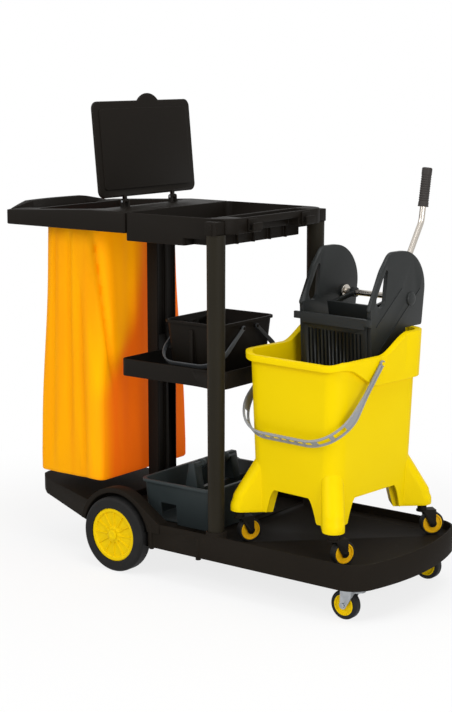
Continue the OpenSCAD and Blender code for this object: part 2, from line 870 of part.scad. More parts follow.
// A flat strap bail: arms hang from pivots at half_w, the grip runs across at the reach
module bail_shape(half_w, reach, r, t, w) {
    rotate([90, 0, 0]) translate([0, 0, -w / 2]) linear_extrude(w) {
        for (s = [-1, 1]) {
            translate([s * (half_w + t / 2) - t / 2, r - reach]) square([t, reach - r]);
            translate([s * (half_w + t - r), r - reach]) intersection() {
                difference() {
                    circle(r);
                    circle(r - t);
                }
                translate([s > 0 ? 0 : -r, -r]) square(r);
            }
        }
        translate([r - half_w - t, -reach]) square([2 * (half_w + t - r), t]);
    }
    for (s = [-1, 1]) {
        translate([s * (half_w + t / 2), 0, 0]) rod_x(w, -t / 2, t / 2);
    }
}

module pail_at() {
    translate([pail_x, pail_y, shelf_floor + gap]) children();
}

module shelf_bucket() {
    t = 3;
    l0 = pail_l - 32;
    w0 = pail_w - 40;
    lip = 5;
    lip_h = 7;
    rib_t = 10;
    rib_end = 20;
    pin_in = 12;
    pin_out = 9;
    color(black) pail_at() {
        difference() {
            union() {
                hull() {
                    slab(l0, w0, 22, 0);
                    slab(pail_l - 2 * lip, pail_w - 2 * lip, 24, pail_h - eps);
                }
                translate([0, 0, pail_h - lip_h]) linear_extrude(lip_h) rounded(pail_l, pail_w, 28);
                block([-rib_t / 2, 2 - pail_w / 2, rib_end], [rib_t / 2, 0, pail_h - rib_end]);
            }
            hull() {
                slab(l0 - 2 * t, w0 - 2 * t, 20, t);
                slab(pail_l - 2 * lip - 2 * t, pail_w - 2 * lip - 2 * t, 22, pail_h + 1);
            }
        }
        for (s = [-1, 1], e = [-1, 1]) {
            mirror([s < 0 ? 1 : 0, 0, 0]) translate([0, e * pail_pin_y, pail_pivot])
                rod_x(pail_pin_d, pail_l / 2 - pin_in, pail_l / 2 + pin_out);
        }
    }
}

// One of the two bails of the shelf bucket, hanging to the near or the far side
module pail_bail(s) {
    reach = 150;
    bend_r = 40;
    strap_t = 4;
    strap_w = 14;
    color(s < 0 ? silver : charcoal) pail_at() translate([0, s * pail_pin_y, pail_pivot])
        rotate([s * pail_lean, 0, 0]) difference() {
            bail_shape(pail_l / 2 + 2, reach, bend_r, strap_t, strap_w);
            rod_x(pail_pin_d + 2 * fit, -pail_l, pail_l);
        }
}

module caddy_at() {
    translate([caddy_x, caddy_y, deck_z + gap]) children();
}

module caddy() {
    t = 4;
    l0 = caddy_l - 24;
    w0 = caddy_w - 34;
    lip = 6;
    lip_h = 8;
    wall_t = 16;
    win_w = 52;
    win_h = 56;
    win_x = -30;
    color([0.26, 0.29, 0.29]) caddy_at() difference() {
        union() {
            difference() {
                hull() {
                    slab(l0, w0, 20, 0);
                    slab(caddy_l - 2 * lip, caddy_w - 2 * lip, 24, caddy_h - eps);
                }
                hull() {
                    slab(l0 - 2 * t, w0 - 2 * t, 16, t);
                    slab(caddy_l - 2 * lip - 2 * t, caddy_w - 2 * lip - 2 * t, 20, caddy_h + 1);
                }
            }
            difference() {
                translate([0, 0, caddy_h - lip_h]) linear_extrude(lip_h) rounded(caddy_l, caddy_w, 28);
                translate([0, 0, caddy_h - lip_h - 1]) linear_extrude(lip_h + 2)
                    rounded(caddy_l - 3 * lip, caddy_w - 3 * lip, 22);
            }
            block([-wall_t / 2, 2 - w0 / 2, t - eps], [wall_t / 2, w0 / 2 - 2, caddy_wall]);
        }
        block([win_x - win_w / 2, -caddy_w, -1], [win_x + win_w / 2, lip_h + lip - w0 / 2, win_h]);
    }
}

module caddy_handle() {
    top = caddy_h + 44;
    span = 86;
    leg_w = 30;
    foot_half = 22;
    head_half = 9;
    bar_d = 22;
    ring_d = 27;
    ring_w = 10;
    ring_pitch = 26;
    color([0.26, 0.29, 0.29]) caddy_at() {
        for (s = [-1, 1]) {
            mirror([0, s < 0 ? 1 : 0, 0]) along_y(span + 10 - leg_w, span + 10)
                polygon([[-foot_half, caddy_wall], [foot_half, caddy_wall],
                    [head_half, top], [-head_half, top]]);
        }
        translate([0, 0, top - 10]) rod_y(bar_d, -span - 4, span + 4);
        for (i = [-2:2]) {
            translate([0, i * ring_pitch, top - 10]) rod_y(ring_d, -ring_w / 2, ring_w / 2);
        }
    }
}

// The mop bucket stands across the deck, turned a little; these are its own axes
module bucket_at() {
    translate([bucket_x, bucket_y, bucket_z]) rotate([0, 0, bucket_yaw]) children();
}

// An easy curve from 0 to 1
function ease(q) = q * q * (3 - 2 * q);

// The rim's top line in the bucket's Y and Z, nearly level and then sweeping up to the wringer
function rim_line() = [[-bucket_l / 2 - 1, bucket_rim], [shoulder_y, bucket_rim + shoulder_up],
    for (i = [0:sweep_n]) [sweep_y0 + i / sweep_n * (sweep_y1 - sweep_y0),
        bucket_rim + shoulder_up + (bucket_rise - shoulder_up) * ease(i / sweep_n)],
    [bucket_l / 2 + 1, bucket_rim + bucket_rise]];

// The lower line of the rim's band, from the wringer's end back to the low end
function band_line() = [[bucket_l / 2 + 1, bucket_rim - band_low],
    for (i = [sweep_n:-1:0]) [band_y0 + i / sweep_n * (band_y1 - band_y0),
        bucket_rim - band_h - (band_low - band_h) * ease(i / sweep_n)],
    [-bucket_l / 2 - 1, bucket_rim - band_h]];

module mop_bucket() {
    flare_l = 30;
    flare_w = 16;
    l1 = bucket_w - 2 * rim_over;
    w1 = bucket_l - 2 * rim_over;
    r = 44;
    high = bucket_rim + bucket_rise;
    pin_in = 6;
    pin_out = bail_t + 4;
    color(yellow) bucket_at() {
        difference() {
            union() {
                difference() {
                    hull() {
                        slab(l1 - flare_l, w1 - flare_w, r, bucket_floor);
                        slab(l1, w1, r, high - eps);
                    }
                    along_x(-bucket_w, bucket_w)
                        polygon(concat(rim_line(), [[bucket_l, 2 * high], [-bucket_l, 2 * high]]));
                }
                intersection() {
                    translate([0, 0, bucket_floor]) linear_extrude(high)
                        rounded(bucket_w, bucket_l, r + rim_over);
                    along_x(-bucket_w, bucket_w) polygon(concat(rim_line(), band_line()));
                }
                for (c = caster_spot) {
                    bucket_leg(c, l1 - flare_l, w1 - flare_w, r);
                }
            }
            hull() {
                slab(l1 - flare_l - 2 * bucket_t, w1 - flare_w - 2 * bucket_t, r - bucket_t,
                    bucket_floor + bucket_t);
                slab(l1 - 2 * bucket_t, w1 - 2 * bucket_t, r - bucket_t, high + 1);
            }
        }
        for (s = [-1, 1]) {
            mirror([s < 0 ? 1 : 0, 0, 0]) translate([0, pivot_y, pivot_z])
                rod_x(pivot_d, bucket_w / 2 - pin_in, bucket_w / 2 + pin_out);
        }
    }
}

// A splayed leg, long towards the middle of the bucket, from the body's corner out to a caster
module bucket_leg(c, l0, w0, r) {
    foot = [c[0] * bucket_track / 2, c[1] * bucket_base / 2, leg_z];
    inward = -foot_len * [foot[0], foot[1], 0] / norm([foot[0], foot[1]]);
    foot_h = 22;
    hip_h = 54;
    hull() {
        translate(foot) cylinder(r = foot_r, h = foot_h, $fn = 32);
        translate(foot + inward) cylinder(r = foot_r, h = foot_h, $fn = 32);
        translate([c[0] * (l0 / 2 - r), c[1] * (w0 / 2 - r), bucket_floor])
            cylinder(r = r - 2, h = hip_h, $fn = 32);
    }
}

module mop_bail() {
    holes = 9;
    hole_h = 7;
    hole_pitch = 12;
    hole_start = 34;
    bend_r = 110;
    half = bucket_w / 2 + 1;
    color(silver) bucket_at() translate([0, pivot_y, pivot_z]) rotate([-bail_angle, 0, 0]) difference() {
        bail_shape(half, bail_reach, bend_r, bail_t, bail_w);
        rod_x(pivot_d + 2 * fit, -bucket_w, bucket_w);
        for (s = [-1, 1], i = [0:holes - 1]) {
            translate([s * (half + bail_t / 2), 0, -hole_start - i * hole_pitch])
                cube([bail_t + 2, bail_w - 10, hole_h], center = true);
        }
    }
}

// Places a caster of the mop bucket, turned about its swivel
module bucket_caster(i) {
    bucket_at() translate([caster_spot[i][0] * bucket_track / 2, caster_spot[i][1] * bucket_base / 2, 0])
        rotate([0, 0, caster_rest[i] - 90]) children();
}

module bucket_fork(i) {
    r = bucket_wheel_d / 2;
    inner = bucket_wheel_w / 2 + fork_gap;
    side_t = 3.5;
    top_t = 5;
    neck_r = 12;
    color(charcoal) bucket_caster(i) {
        fork_shape(bucket_trail, r, bucket_wheel_w, bucket_crown, top_t, side_t, neck_r + 3, bucket_bolt);
        translate([0, 0, bucket_crown]) cylinder(r = neck_r, h = leg_z - bucket_crown - gap);
        translate([-bucket_trail, 0, r]) {
            rod_y(bucket_bolt, -inner - eps, inner + eps);
            for (s = [-1, 1]) {
                mirror([0, s < 0 ? 1 : 0, 0])
                    rod_y(bucket_bolt + 2 * fit, inner - eps, inner + side_t + 1);
            }
        }
    }
}

module bucket_tread(i) {
    color(black) bucket_caster(i) translate([-bucket_trail, 0, bucket_wheel_d / 2])
        tread_shape(bucket_wheel_d, bucket_core_d, bucket_wheel_w);
}

module bucket_core(i) {
    color([0.98, 0.72, 0.0]) bucket_caster(i) translate([-bucket_trail, 0, bucket_wheel_d / 2])
        core_shape(bucket_core_d, bucket_wheel_w, bucket_bolt);
}

// A wringer cheek's plate above the rim, in the bucket's Y and Z, drawn in at its nose and its crown
module cheek_plate(nose_in, crown_in) {
    nose_r = 8;
    nose_back = 4;
    crown_r = 33;
    crown_at = [-76, 93];
    back_r = 100;
    back_at = [-40, 26];
    heel_r = 7;
    heel_back = 43;
    intersection() {
        hull() {
            translate([panel_y + nose_back + nose_in, panel_top + nose_up]) circle(nose_r);
            translate([shaft_y + crown_in, shaft_z] + crown_at) circle(crown_r);
            translate([shaft_y, shaft_z] + back_at) circle(back_r, $fn = 128);
            translate([shaft_y + heel_back, saddle_z + heel_r]) circle(heel_r);
        }
        translate([panel_y - back_r, saddle_z]) square([bucket_l, bucket_l]);
    }
}

module cheek(s) {
    x = wringer_w / 2;
    edge_t = 6;
    thin = (cheek_t - edge_t) / 2;
    nose_in = 20;
    crown_in = 5;
    slot_low = [-126, 8];
    slot_low_r = 19;
    slot_high = [-104, 78];
    slot_high_r = 5;
    boss_d = shaft_d + 20;
    line_r = 1.5;
    lines = [[[-143, -57], [-38, 30]], [[-141, -128], [40, 22]]];
    root = shaft_y - 20;
    shaft_at = [shaft_y, shaft_z];
    color(charcoal) bucket_at() mirror([s < 0 ? 1 : 0, 0, 0]) difference() {
        union() {
            along_x(x - cheek_t + thin, x - thin) cheek_plate(0, 0);
            along_x(x - cheek_t, x) cheek_plate(nose_in, crown_in);
            along_x(x - cheek_t, x) polygon([[panel_y + 3 * panel_t, basket_z],
                [panel_y + panel_t / 2, panel_top + nose_up], [root, panel_top + nose_up],
                [root, saddle_z], [root - panel_t, basket_z]]);
            translate([0, shaft_y, shaft_z]) rod_x(boss_d, x - cheek_t - boss_t, x + 2);
            for (l = lines) {
                along_x(x - eps, x + line_r) hull() {
                    translate(shaft_at + l[0]) circle(line_r, $fn = 16);
                    translate(shaft_at + l[1]) circle(line_r, $fn = 16);
                }
            }
        }
        along_x(x - cheek_t - 1, x + cheek_t) hull() {
            translate(shaft_at + slot_low) circle(slot_low_r);
            translate(shaft_at + slot_high) circle(slot_high_r);
        }
        translate([0, shaft_y, shaft_z]) rod_x(shaft_d + 2 * fit, x - boss_d, x + boss_d);
    }
}

module wringer_basket() {
    x = wringer_w / 2 - cheek_t - fit;
    edge = 14;
    pitch = 2 * (x - edge) / wringer_slots;
    back = shaft_y - 30;
    low = panel_y + 10;
    high = panel_y - 2;
    band = 27;
    band_out = 8;
    band_end = wringer_w / 2 + 8;
    sill = 14;
    color(charcoal) bucket_at() {
        difference() {
            along_x(-x, x) polygon([[low, basket_z], [high, panel_top], [high + panel_t, panel_top],
                [low + panel_t, basket_z + panel_t], [back - panel_t, basket_z + panel_t],
                [back - panel_t, saddle_z - 10], [back, saddle_z - 10], [back, basket_z]]);
            for (i = [0:wringer_slots - 1]) {
                translate([-x + edge + pitch * (i + 0.25), high - edge, basket_z + sill])
                    cube([pitch / 2, 3 * edge, panel_top - basket_z - 2 * sill - band]);
            }
        }
        block([-x, high - band_out, panel_top - band], [x, high + panel_t / 2, panel_top]);
        for (s = [-1, 1]) {
            mirror([s < 0 ? 1 : 0, 0, 0]) block([x - eps, high - band_out - 2, panel_top - band + 9],
                [band_end, high - gap, panel_top]);
        }
    }
}

module wringer_shaft() {
    end = wringer_w / 2 + 5;
    color(zinc) bucket_at() translate([0, shaft_y, shaft_z]) {
        rod_x(shaft_d, -end, end);
        for (s = [-1, 1]) {
            mirror([s < 0 ? 1 : 0, 0, 0])
                rod_x(2 * collar_r, collar_x, collar_x + collar_t);
        }
    }
}

// The plate that presses the mop, on two arms that swing on the shaft
module presser() {
    reach = 100;
    drop = 30;
    rise = 10;
    arm_w = 16;
    arm_h = 12;
    plate_t = 6;
    half = lever_x - lever_hub / 2 - 2;
    hub_r = shaft_d / 2 + 5;
    color(charcoal) bucket_at() translate([0, shaft_y, shaft_z]) rotate([presser_rest, 0, 0]) difference() {
        union() {
            for (s = [-1, 1]) {
                translate([s * (half - arm_w / 2), 0, 0]) {
                    rod_x(2 * hub_r, -arm_w / 2, arm_w / 2);
                    block([-arm_w / 4, -reach, -arm_h / 2], [arm_w / 4, 3 - hub_r, arm_h / 2]);
                }
            }
            block([-half, 1 - reach - plate_t, -drop], [half, 1 - reach, rise]);
        }
        rod_x(shaft_d + 2 * fit, -wringer_w, wringer_w);
    }
}

// A straight tube up Z with a round elbow at its end; children go on from there, turned towards -Y
module tube_step(length, turn, d) {
    elbow = 1.04;
    cylinder(d = d, h = length);
    translate([0, 0, length]) {
        sphere(d = d * elbow);
        rotate([turn, 0, 0]) children();
    }
}

// The lever's own axes: shaft along X at the origin, tube leaving up Z
module lever_at() {
    bucket_at() translate([lever_x, shaft_y, shaft_z]) rotate([-lever_lean, 0, 0]) children();
}

module lever_tube() {
    color(zinc) lever_at() difference() {
        union() {
            rod_x(shaft_d + 12, -lever_hub / 2, lever_hub / 2);
            tube_step(lever_low, -lever_kick, lever_d)
                tube_step(lever_mid, lever_kick + lever_back, lever_d)
                    cylinder(d = lever_d, h = lever_top);
        }
        rod_x(shaft_d + 2 * fit, -lever_hub, lever_hub);
    }
}

module lever_grip() {
    bare = 39;
    cap = 6;
    r = grip_d / 2;
    soft = 8;
    bore = lever_d / 2 + fit;
    color(black) lever_at() lever_end() rotate_extrude() polygon([[bore, bare], [r, bare],
        for (a = [0:15:90]) [r - soft + soft * cos(a), lever_top + cap - soft + soft * sin(a)],
        [0, lever_top + cap], [0, lever_top + fit], [bore, lever_top + fit]]);
}

// Carries its children to the lever's last straight stretch
module lever_end() {
    translate([0, 0, lever_low]) rotate([-lever_kick, 0, 0]) translate([0, 0, lever_mid])
        rotate([lever_kick + lever_back, 0, 0]) children();
}

base_platform();
rear_axle();
tyre(-1);  // tyre_l
tyre(1);  // tyre_r
disc(-1);  // disc_l
disc(1);  // disc_r
hub_cap(-1);  // hub_cap_l
hub_cap(1);  // hub_cap_r
caster_plate(-1);  // caster_plate_l
caster_plate(1);  // caster_plate_r
caster_fork(-1);  // caster_fork_l
caster_fork(1);  // caster_fork_r
caster_tread(-1);  // caster_tread_l
caster_tread(1);  // caster_tread_r
caster_core(-1);  // caster_core_l
caster_core(1);  // caster_core_r
caster_bolt(-1);  // caster_bolt_l
caster_bolt(1);  // caster_bolt_r
post(-1);  // post_l
post(1);  // post_r
post_cap(-1);  // post_cap_l
post_cap(1);  // post_cap_r
rear_column();
mid_shelf();
top_tray();
tray_hooks();
bag_frame();
bag_lid();
lid_pins();
waste_bag();
shelf_bucket();
pail_bail(-1);  // pail_bail_near
pail_bail(1);  // pail_bail_far
caddy();
caddy_handle();
mop_bucket();
mop_bail();
bucket_fork(0);  // fork_nl
bucket_fork(1);  // fork_nr
bucket_fork(2);  // fork_fl
bucket_fork(3);  // fork_fr
bucket_tread(0);  // tread_nl
bucket_tread(1);  // tread_nr
bucket_tread(2);  // tread_fl
bucket_tread(3);  // tread_fr
bucket_core(0);  // core_nl
bucket_core(1);  // core_nr
bucket_core(2);  // core_fl
bucket_core(3);  // core_fr
wringer_basket();
cheek(-1);  // cheek_l
cheek(1);  // cheek_r
wringer_shaft();
presser();
lever_tube();
lever_grip();
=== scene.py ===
import math
from itertools import combinations

import bmesh
import bpy
import numpy as np
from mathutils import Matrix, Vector


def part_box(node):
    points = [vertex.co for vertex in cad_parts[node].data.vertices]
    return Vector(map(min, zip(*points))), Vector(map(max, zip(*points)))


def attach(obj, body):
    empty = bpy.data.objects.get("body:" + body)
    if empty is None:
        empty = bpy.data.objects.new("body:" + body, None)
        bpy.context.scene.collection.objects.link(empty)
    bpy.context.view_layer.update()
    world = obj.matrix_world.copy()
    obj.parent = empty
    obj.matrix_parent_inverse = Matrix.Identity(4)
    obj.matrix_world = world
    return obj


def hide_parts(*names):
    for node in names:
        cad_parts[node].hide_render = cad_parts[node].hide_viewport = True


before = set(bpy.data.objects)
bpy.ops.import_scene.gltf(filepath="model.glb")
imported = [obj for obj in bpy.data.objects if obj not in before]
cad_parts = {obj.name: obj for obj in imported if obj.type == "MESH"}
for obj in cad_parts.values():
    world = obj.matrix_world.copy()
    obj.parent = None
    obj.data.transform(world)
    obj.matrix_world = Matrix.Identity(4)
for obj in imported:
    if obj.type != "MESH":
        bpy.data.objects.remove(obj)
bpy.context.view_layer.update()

scene = bpy.context.scene
scene.view_settings.view_transform = "Standard"


# Studio: a wide pale floor and an even white surround, with large soft lamps at the left of the camera,
# at its right and overhead. The camera stands off the cart's near front corner, a little above the tray,
# and looks at it through a long lens.
def aim_at(thing, place, target):
    """Puts a camera or a lamp at a place and turns it to look at a target."""
    scene.collection.objects.link(thing)
    thing.location = place
    thing.rotation_mode = "QUATERNION"
    thing.rotation_quaternion = (Vector(target) - Vector(place)).to_track_quat("-Z", "Y")


camera = bpy.data.objects.new("camera", bpy.data.cameras.new("camera"))
aim_at(camera, (2.5945, -3.420, 1.354), (0.0477, -0.0524, 0.5832))
camera.data.sensor_width = 36.0
camera.data.lens = 81.96
camera.data.clip_end = 60.0
scene.camera = camera


class Socket:
    """One value in a material's node tree: operators on it add Math nodes, node() adds any other node."""

    def __init__(self, tree, link=None):
        self.tree, self.link = tree, link

    def node(self, kind, settings=None, inputs=None, out=0):
        """Adds a node with its settings and the values or links of its sockets, and gives one output."""
        made = self.tree.nodes.new("ShaderNode" + kind)
        for key, value in (settings or {}).items():
            setattr(made, key, value)
        for key, value in (inputs or {}).items():
            if isinstance(value, Socket):
                self.tree.links.new(value.link, made.inputs[key])
            else:
                made.inputs[key].default_value = value
        return Socket(self.tree, made.outputs[out])

    def math(self, operation, first, second, clamp=False):
        """A Math node on two values, kept between 0 and 1 where clamp is set."""
        return self.node("Math", {"operation": operation, "use_clamp": clamp}, {0: first, 1: second})

    def __add__(self, other):
        return self.math("ADD", self, other)

    def __sub__(self, other):
        return self.math("SUBTRACT", self, other)

    def __rsub__(self, other):
        return self.math("SUBTRACT", other, self)

    def __mul__(self, other):
        return self.math("MULTIPLY", self, other)

    __radd__, __rmul__ = __add__, __mul__

    def noise(self, at, scale, detail):
        """Cloudy noise from 0 to 1 at a place, with so many clouds to the metre and so many finer layers."""
        return self.node("TexNoise", {}, {"Vector": at, "Scale": scale, "Detail": detail}, "Fac")

    def step(self, low, high):
        """0 below low, 1 above high, and an easy ramp between."""
        return self.node("MapRange", {"interpolation_type": "SMOOTHSTEP"},
                         {"Value": self, "From Min": low, "From Max": high})

    def mix(self, first, second):
        """The first colour where this value is 0, the second where it is 1."""
        return self.node("Mix", {"data_type": "RGBA"}, {0: self, 6: first, 7: second}, 2)


def finish_of(name, constants):
    """A new material, its first socket, and a function that links values to its surface's sockets."""
    material = bpy.data.materials.new(name)
    material.use_nodes = True
    tree = material.node_tree
    surface = tree.nodes["Principled BSDF"]
    for key, value in constants.items():
        surface.inputs[key].default_value = value

    def link(**values):
        for key, value in values.items():
            tree.links.new(value.link, surface.inputs[key.replace("_", " ")])

    return material, Socket(tree), link


def shows(tree):
    """1 for what the camera sees, straight, in a gloss or through glass, and 0 for light on its way."""
    rays = tree.nodes.new("ShaderNodeLightPath")
    straight, gloss, through = (Socket(tree, rays.outputs[f"Is {kind} Ray"])
                                for kind in ("Camera", "Glossy", "Transmission"))
    return straight.math("ADD", straight + gloss, through, True)


light_from_surround = 0.52
surround = bpy.data.worlds.new("surround")
surround.use_nodes = True
scene.world = surround
lit = surround.node_tree.nodes["Background"]
lit.inputs["Color"].default_value = (1.0, 1.0, 1.0, 1.0)
strength = light_from_surround + (1 - light_from_surround) * shows(surround.node_tree)
surround.node_tree.links.new(strength.link, lit.inputs["Strength"])

floor_half, white_near, white_from, white_to = 30.0, 0.8, 0.7, 1.5
floor_data = bpy.data.meshes.new("floor")
floor_corners = [(x * floor_half, y * floor_half, 0) for x, y in ((-1, -1), (1, -1), (1, 1), (-1, 1))]
floor_data.from_pydata(floor_corners, [], [(0, 1, 2, 3)])
floor = bpy.data.objects.new("floor", floor_data)
scene.collection.objects.link(floor)
pale, base, _ = finish_of("pale_floor", {"Base Color": (0.86, 0.86, 0.86, 1), "Roughness": 0.9,
                                         "Specular IOR Level": 0.1})
tree = pale.node_tree
white = tree.nodes.new("ShaderNodeEmission")
blend = tree.nodes.new("ShaderNodeMixShader")
here = base.node("TexCoord", out="Object")
away = base.node("VectorMath", {"operation": "LENGTH"}, {0: here}, "Value").step(white_from, white_to)
tree.links.new((shows(tree) * (white_near + (1 - white_near) * away)).link, blend.inputs[0])
tree.links.new(tree.nodes["Principled BSDF"].outputs[0], blend.inputs[1])
tree.links.new(white.outputs[0], blend.inputs[2])
tree.links.new(blend.outputs[0], tree.nodes["Material Output"].inputs["Surface"])
floor_data.materials.append(pale)

cart_middle = (0.1, 0.0, 0.55)
for name, place, size, power in (("lamp_left", (-1.2, -3.6, 3.0), 2.4, 76.0),
                                 ("lamp_right", (3.6, -1.5, 1.3), 1.8, 56.0),
                                 ("lamp_top", (1.0, -0.4, 3.3), 2.0, 34.0)):
    lamp = bpy.data.lights.new(name, "AREA")
    lamp.size, lamp.energy = size, power
    aim_at(bpy.data.objects.new(name, lamp), place, cart_middle)


# Platform, column, shelf, tray and bag frame, with the tray's hooks and the posts' clips: hollow mouldings
# of black plastic with a fine sparked grain and faint scuffs, the platform a shade lighter and duller.
# They leave the mould with rounded edges, and each is fitted into the next.
def moulded(name, colour, other, rough, grain, gloss):
    """Moulded plastic: slow drifts between two near colours, a fine grain, and faint level scuffs."""
    material, base, link = finish_of(name, {"Specular IOR Level": gloss})
    here = base.node("TexCoord", out="Object")
    drift = base.noise(here, 5.0, 3.0).step(0.3, 0.7)
    speck = base.noise(here, 1400.0, 2.0)
    stretched = base.node("Mapping", {}, {"Vector": here, "Scale": (14.0, 14.0, 90.0)})
    scuff = base.noise(stretched, 3.0, 4.0).step(0.6, 0.78)
    relief = {"Strength": grain, "Distance": 0.0006, "Height": speck + scuff * 0.3}
    link(Base_Color=(drift * 0.7 + scuff * 0.3).mix((*colour, 1), (*other, 1)),
         Roughness=rough + 0.1 * drift + 0.08 * speck - 0.06 * scuff,
         Normal=base.node("Bump", {}, relief))
    return material


def dress(thing, nodes, body, material):
    """Gives a finished piece its material and its body, links it into the scene and hides the solids it
    stands for.
    """
    thing.data.materials.clear()
    thing.data.materials.append(material)
    scene.collection.objects.link(thing)
    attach(thing, body)
    for node in nodes:
        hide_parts(node)
    return thing


def shares(work, width, sharp_from):
    """The share of a rounding's width that each edge of a mesh gets, 0 where the edge isn't sharp.

    Sharp edges that run on into one another go together. Where roundings would meet within a face, or one
    would slide past the end of a plain edge beside it, the shortest run there is halved until all fit.
    """
    far, spare, least, tries, run_on = 1e9, 1.2, 0.12, 200, math.radians(140)
    work.edges.index_update()
    edges = list(work.edges)
    length = np.array([edge.calc_length() for edge in edges])
    share = np.array([float(edge.calc_face_angle(0) > math.radians(sharp_from)) for edge in edges])
    run = np.arange(len(edges))
    for corner in work.verts:
        sharp = [edge for edge in corner.link_edges if share[edge.index]]
        for one, two in combinations(sharp, 2):
            ends = [edge.other_vert(corner).co - corner.co for edge in (one, two)]
            if ends[0].angle(ends[1]) > run_on:
                run[run == run[one.index]] = run[two.index]
    whole = np.bincount(run, length, len(edges))[run]
    near, turns = [], []
    for loop in (loop for face in work.faces for loop in face.loops):
        before, after = loop.link_loop_prev, loop.link_loop_next
        near.append((before.edge.index, loop.edge.index, after.edge.index))
        a, b, c, d = (each.vert.co for each in (before, loop, after, after.link_loop_next))
        turns.append(((a - b).angle(c - b), (b - c).angle(d - c)))
    near, (sin_1, sin_2), (tan_1, tan_2) = np.array(near), np.sin(turns).T, np.tan(turns).T
    for _ in range(tries):
        before, here, after = share[near].T
        below = tan_1 * tan_2 * (before * sin_2 + after * sin_1) + here * sin_1 * sin_2 * (tan_1 + tan_2)
        meet = length[near[:, 1]] * tan_1 * tan_2 * sin_1 * sin_2 / np.where(below == 0, 1, below)
        meet = np.where(((share[near] > 0).sum(1) > 1) & (below != 0) & (meet >= 0), meet, far)
        room = length[near] / np.maximum(here, least)[:, None]
        slides = [np.where((here > 0) & (beside == 0), room[:, i] * sine, far)
                  for beside, i, sine in ((before, 0, sin_1), (after, 2, sin_2))]
        tight = near[np.minimum(meet, np.minimum(*slides)) < width * spare]
        if not len(tight):
            break
        shortest = np.where(share[tight] > 0, whole[tight], far).argmin(1)
        for each in set(run[tight[np.arange(len(tight)), shortest]]):
            share[run == each] *= 0.5
        share[share < least] = 0
    return share


def eased(node, body, material, width):
    """A copy of a solid's mesh, its flat faces made whole and its edges rounded by a width in millimetres."""
    sharp_from, flat_within, one_point, one_corner = 32, 0.8, 1e-4, 1e-6
    work = bmesh.new()
    work.from_mesh(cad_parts[node].data)
    bmesh.ops.remove_doubles(work, verts=work.verts, dist=one_point)
    bmesh.ops.dissolve_limit(work, angle_limit=math.radians(flat_within), verts=work.verts, edges=work.edges)
    weight = work.edges.layers.float.new("bevel_weight_edge")
    for edge, share in zip(work.edges, shares(work, width / 1000, sharp_from)):
        edge[weight] = share
    mesh = bpy.data.meshes.new(node + "_moulded")
    work.to_mesh(mesh)
    work.free()
    mesh.shade_smooth()
    thing = bpy.data.objects.new(node + "_moulded", mesh)
    rounding = thing.modifiers.new("rounding", "BEVEL")
    rounding.width = width / 1000
    rounding.segments = 3
    rounding.limit_method = "WEIGHT"
    rounding.harden_normals = True
    rounding.use_clamp_overlap = True
    weld = thing.modifiers.new("weld", "WELD")
    weld.merge_threshold = one_corner
    return dress(thing, [node], body, material)


def plain(node, material):
    """Gives a solid whose shape is right its finish."""
    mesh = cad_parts[node].data
    mesh.materials.clear()
    mesh.materials.append(material)


black = moulded("black_plastic", (0.0062, 0.0046, 0.003), (0.009, 0.007, 0.0052),
                rough=0.5, grain=0.12, gloss=0.09)
deck_black = moulded("platform_plastic", (0.0108, 0.0085, 0.0061), (0.014, 0.0113, 0.0087),
                     rough=0.6, grain=0.12, gloss=0.05)
eased("base_platform", "cart", deck_black, width=3.0)
for node, width in (("rear_column", 2.0), ("mid_shelf", 2.4), ("top_tray", 2.6), ("bag_frame", 4.0),
                    ("tray_hooks", 1.2), ("post_cap_l", 2.0), ("post_cap_r", 2.0)):
    eased(node, "cart", black, width)

# Posts: two round tubes of the same plastic, a shade lighter and smoother than the mouldings, pressed
# into the platform's sockets and up into the tray.
post_tube = moulded("post_plastic", (0.0135, 0.0112, 0.0066), (0.017, 0.0142, 0.0088),
                    rough=0.45, grain=0.05, gloss=0.1)
for node in ("post_l", "post_r"):
    plain(node, post_tube)


# Rear wheels: soft black tyres moulded over yellow discs. Each disc is a shallow dish with a plain
# outer ring, twelve thin ribs and a flush hub, and turns on the axle behind a small cap.
def rubber(name, colour, rough):
    """Black rubber: dusty drifts of grey and a fine pitted surface."""
    material, base, link = finish_of(name, {"Specular IOR Level": 0.15})
    here = base.node("TexCoord", out="Object")
    dust = base.noise(here, 28.0, 5.0).step(0.45, 0.75)
    pits = base.noise(here, 900.0, 3.0)
    link(Base_Color=(dust * 0.6).mix((*colour, 1), tuple(2.0 * c for c in colour) + (1,)),
         Roughness=rough + 0.12 * dust + 0.05 * pits,
         Normal=base.node("Bump", {}, {"Strength": 0.18, "Distance": 0.0005, "Height": pits}))
    return material


def box_of(node):
    """The low corner, the middle and the high corner of a solid's box, in millimetres to a tenth."""
    low, high = (np.round(np.array(corner) * 1000, 1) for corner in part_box(node))
    return low, (low + high) / 2, high


def skin(points, wrap_rows=False):
    """Four-sided faces between neighbours in a grid of points, (rows, columns, 3), each row a closed ring."""
    rows, cols = points.shape[:2]
    i = np.arange(rows if wrap_rows else rows - 1)[:, None]
    j = np.arange(cols)[None, :]
    k, m = (i + 1) % rows, (j + 1) % cols
    faces = np.stack(np.broadcast_arrays(i * cols + j, i * cols + m, k * cols + m, k * cols + j), -1)
    return points.reshape(-1, 3), faces.reshape(-1, 4)


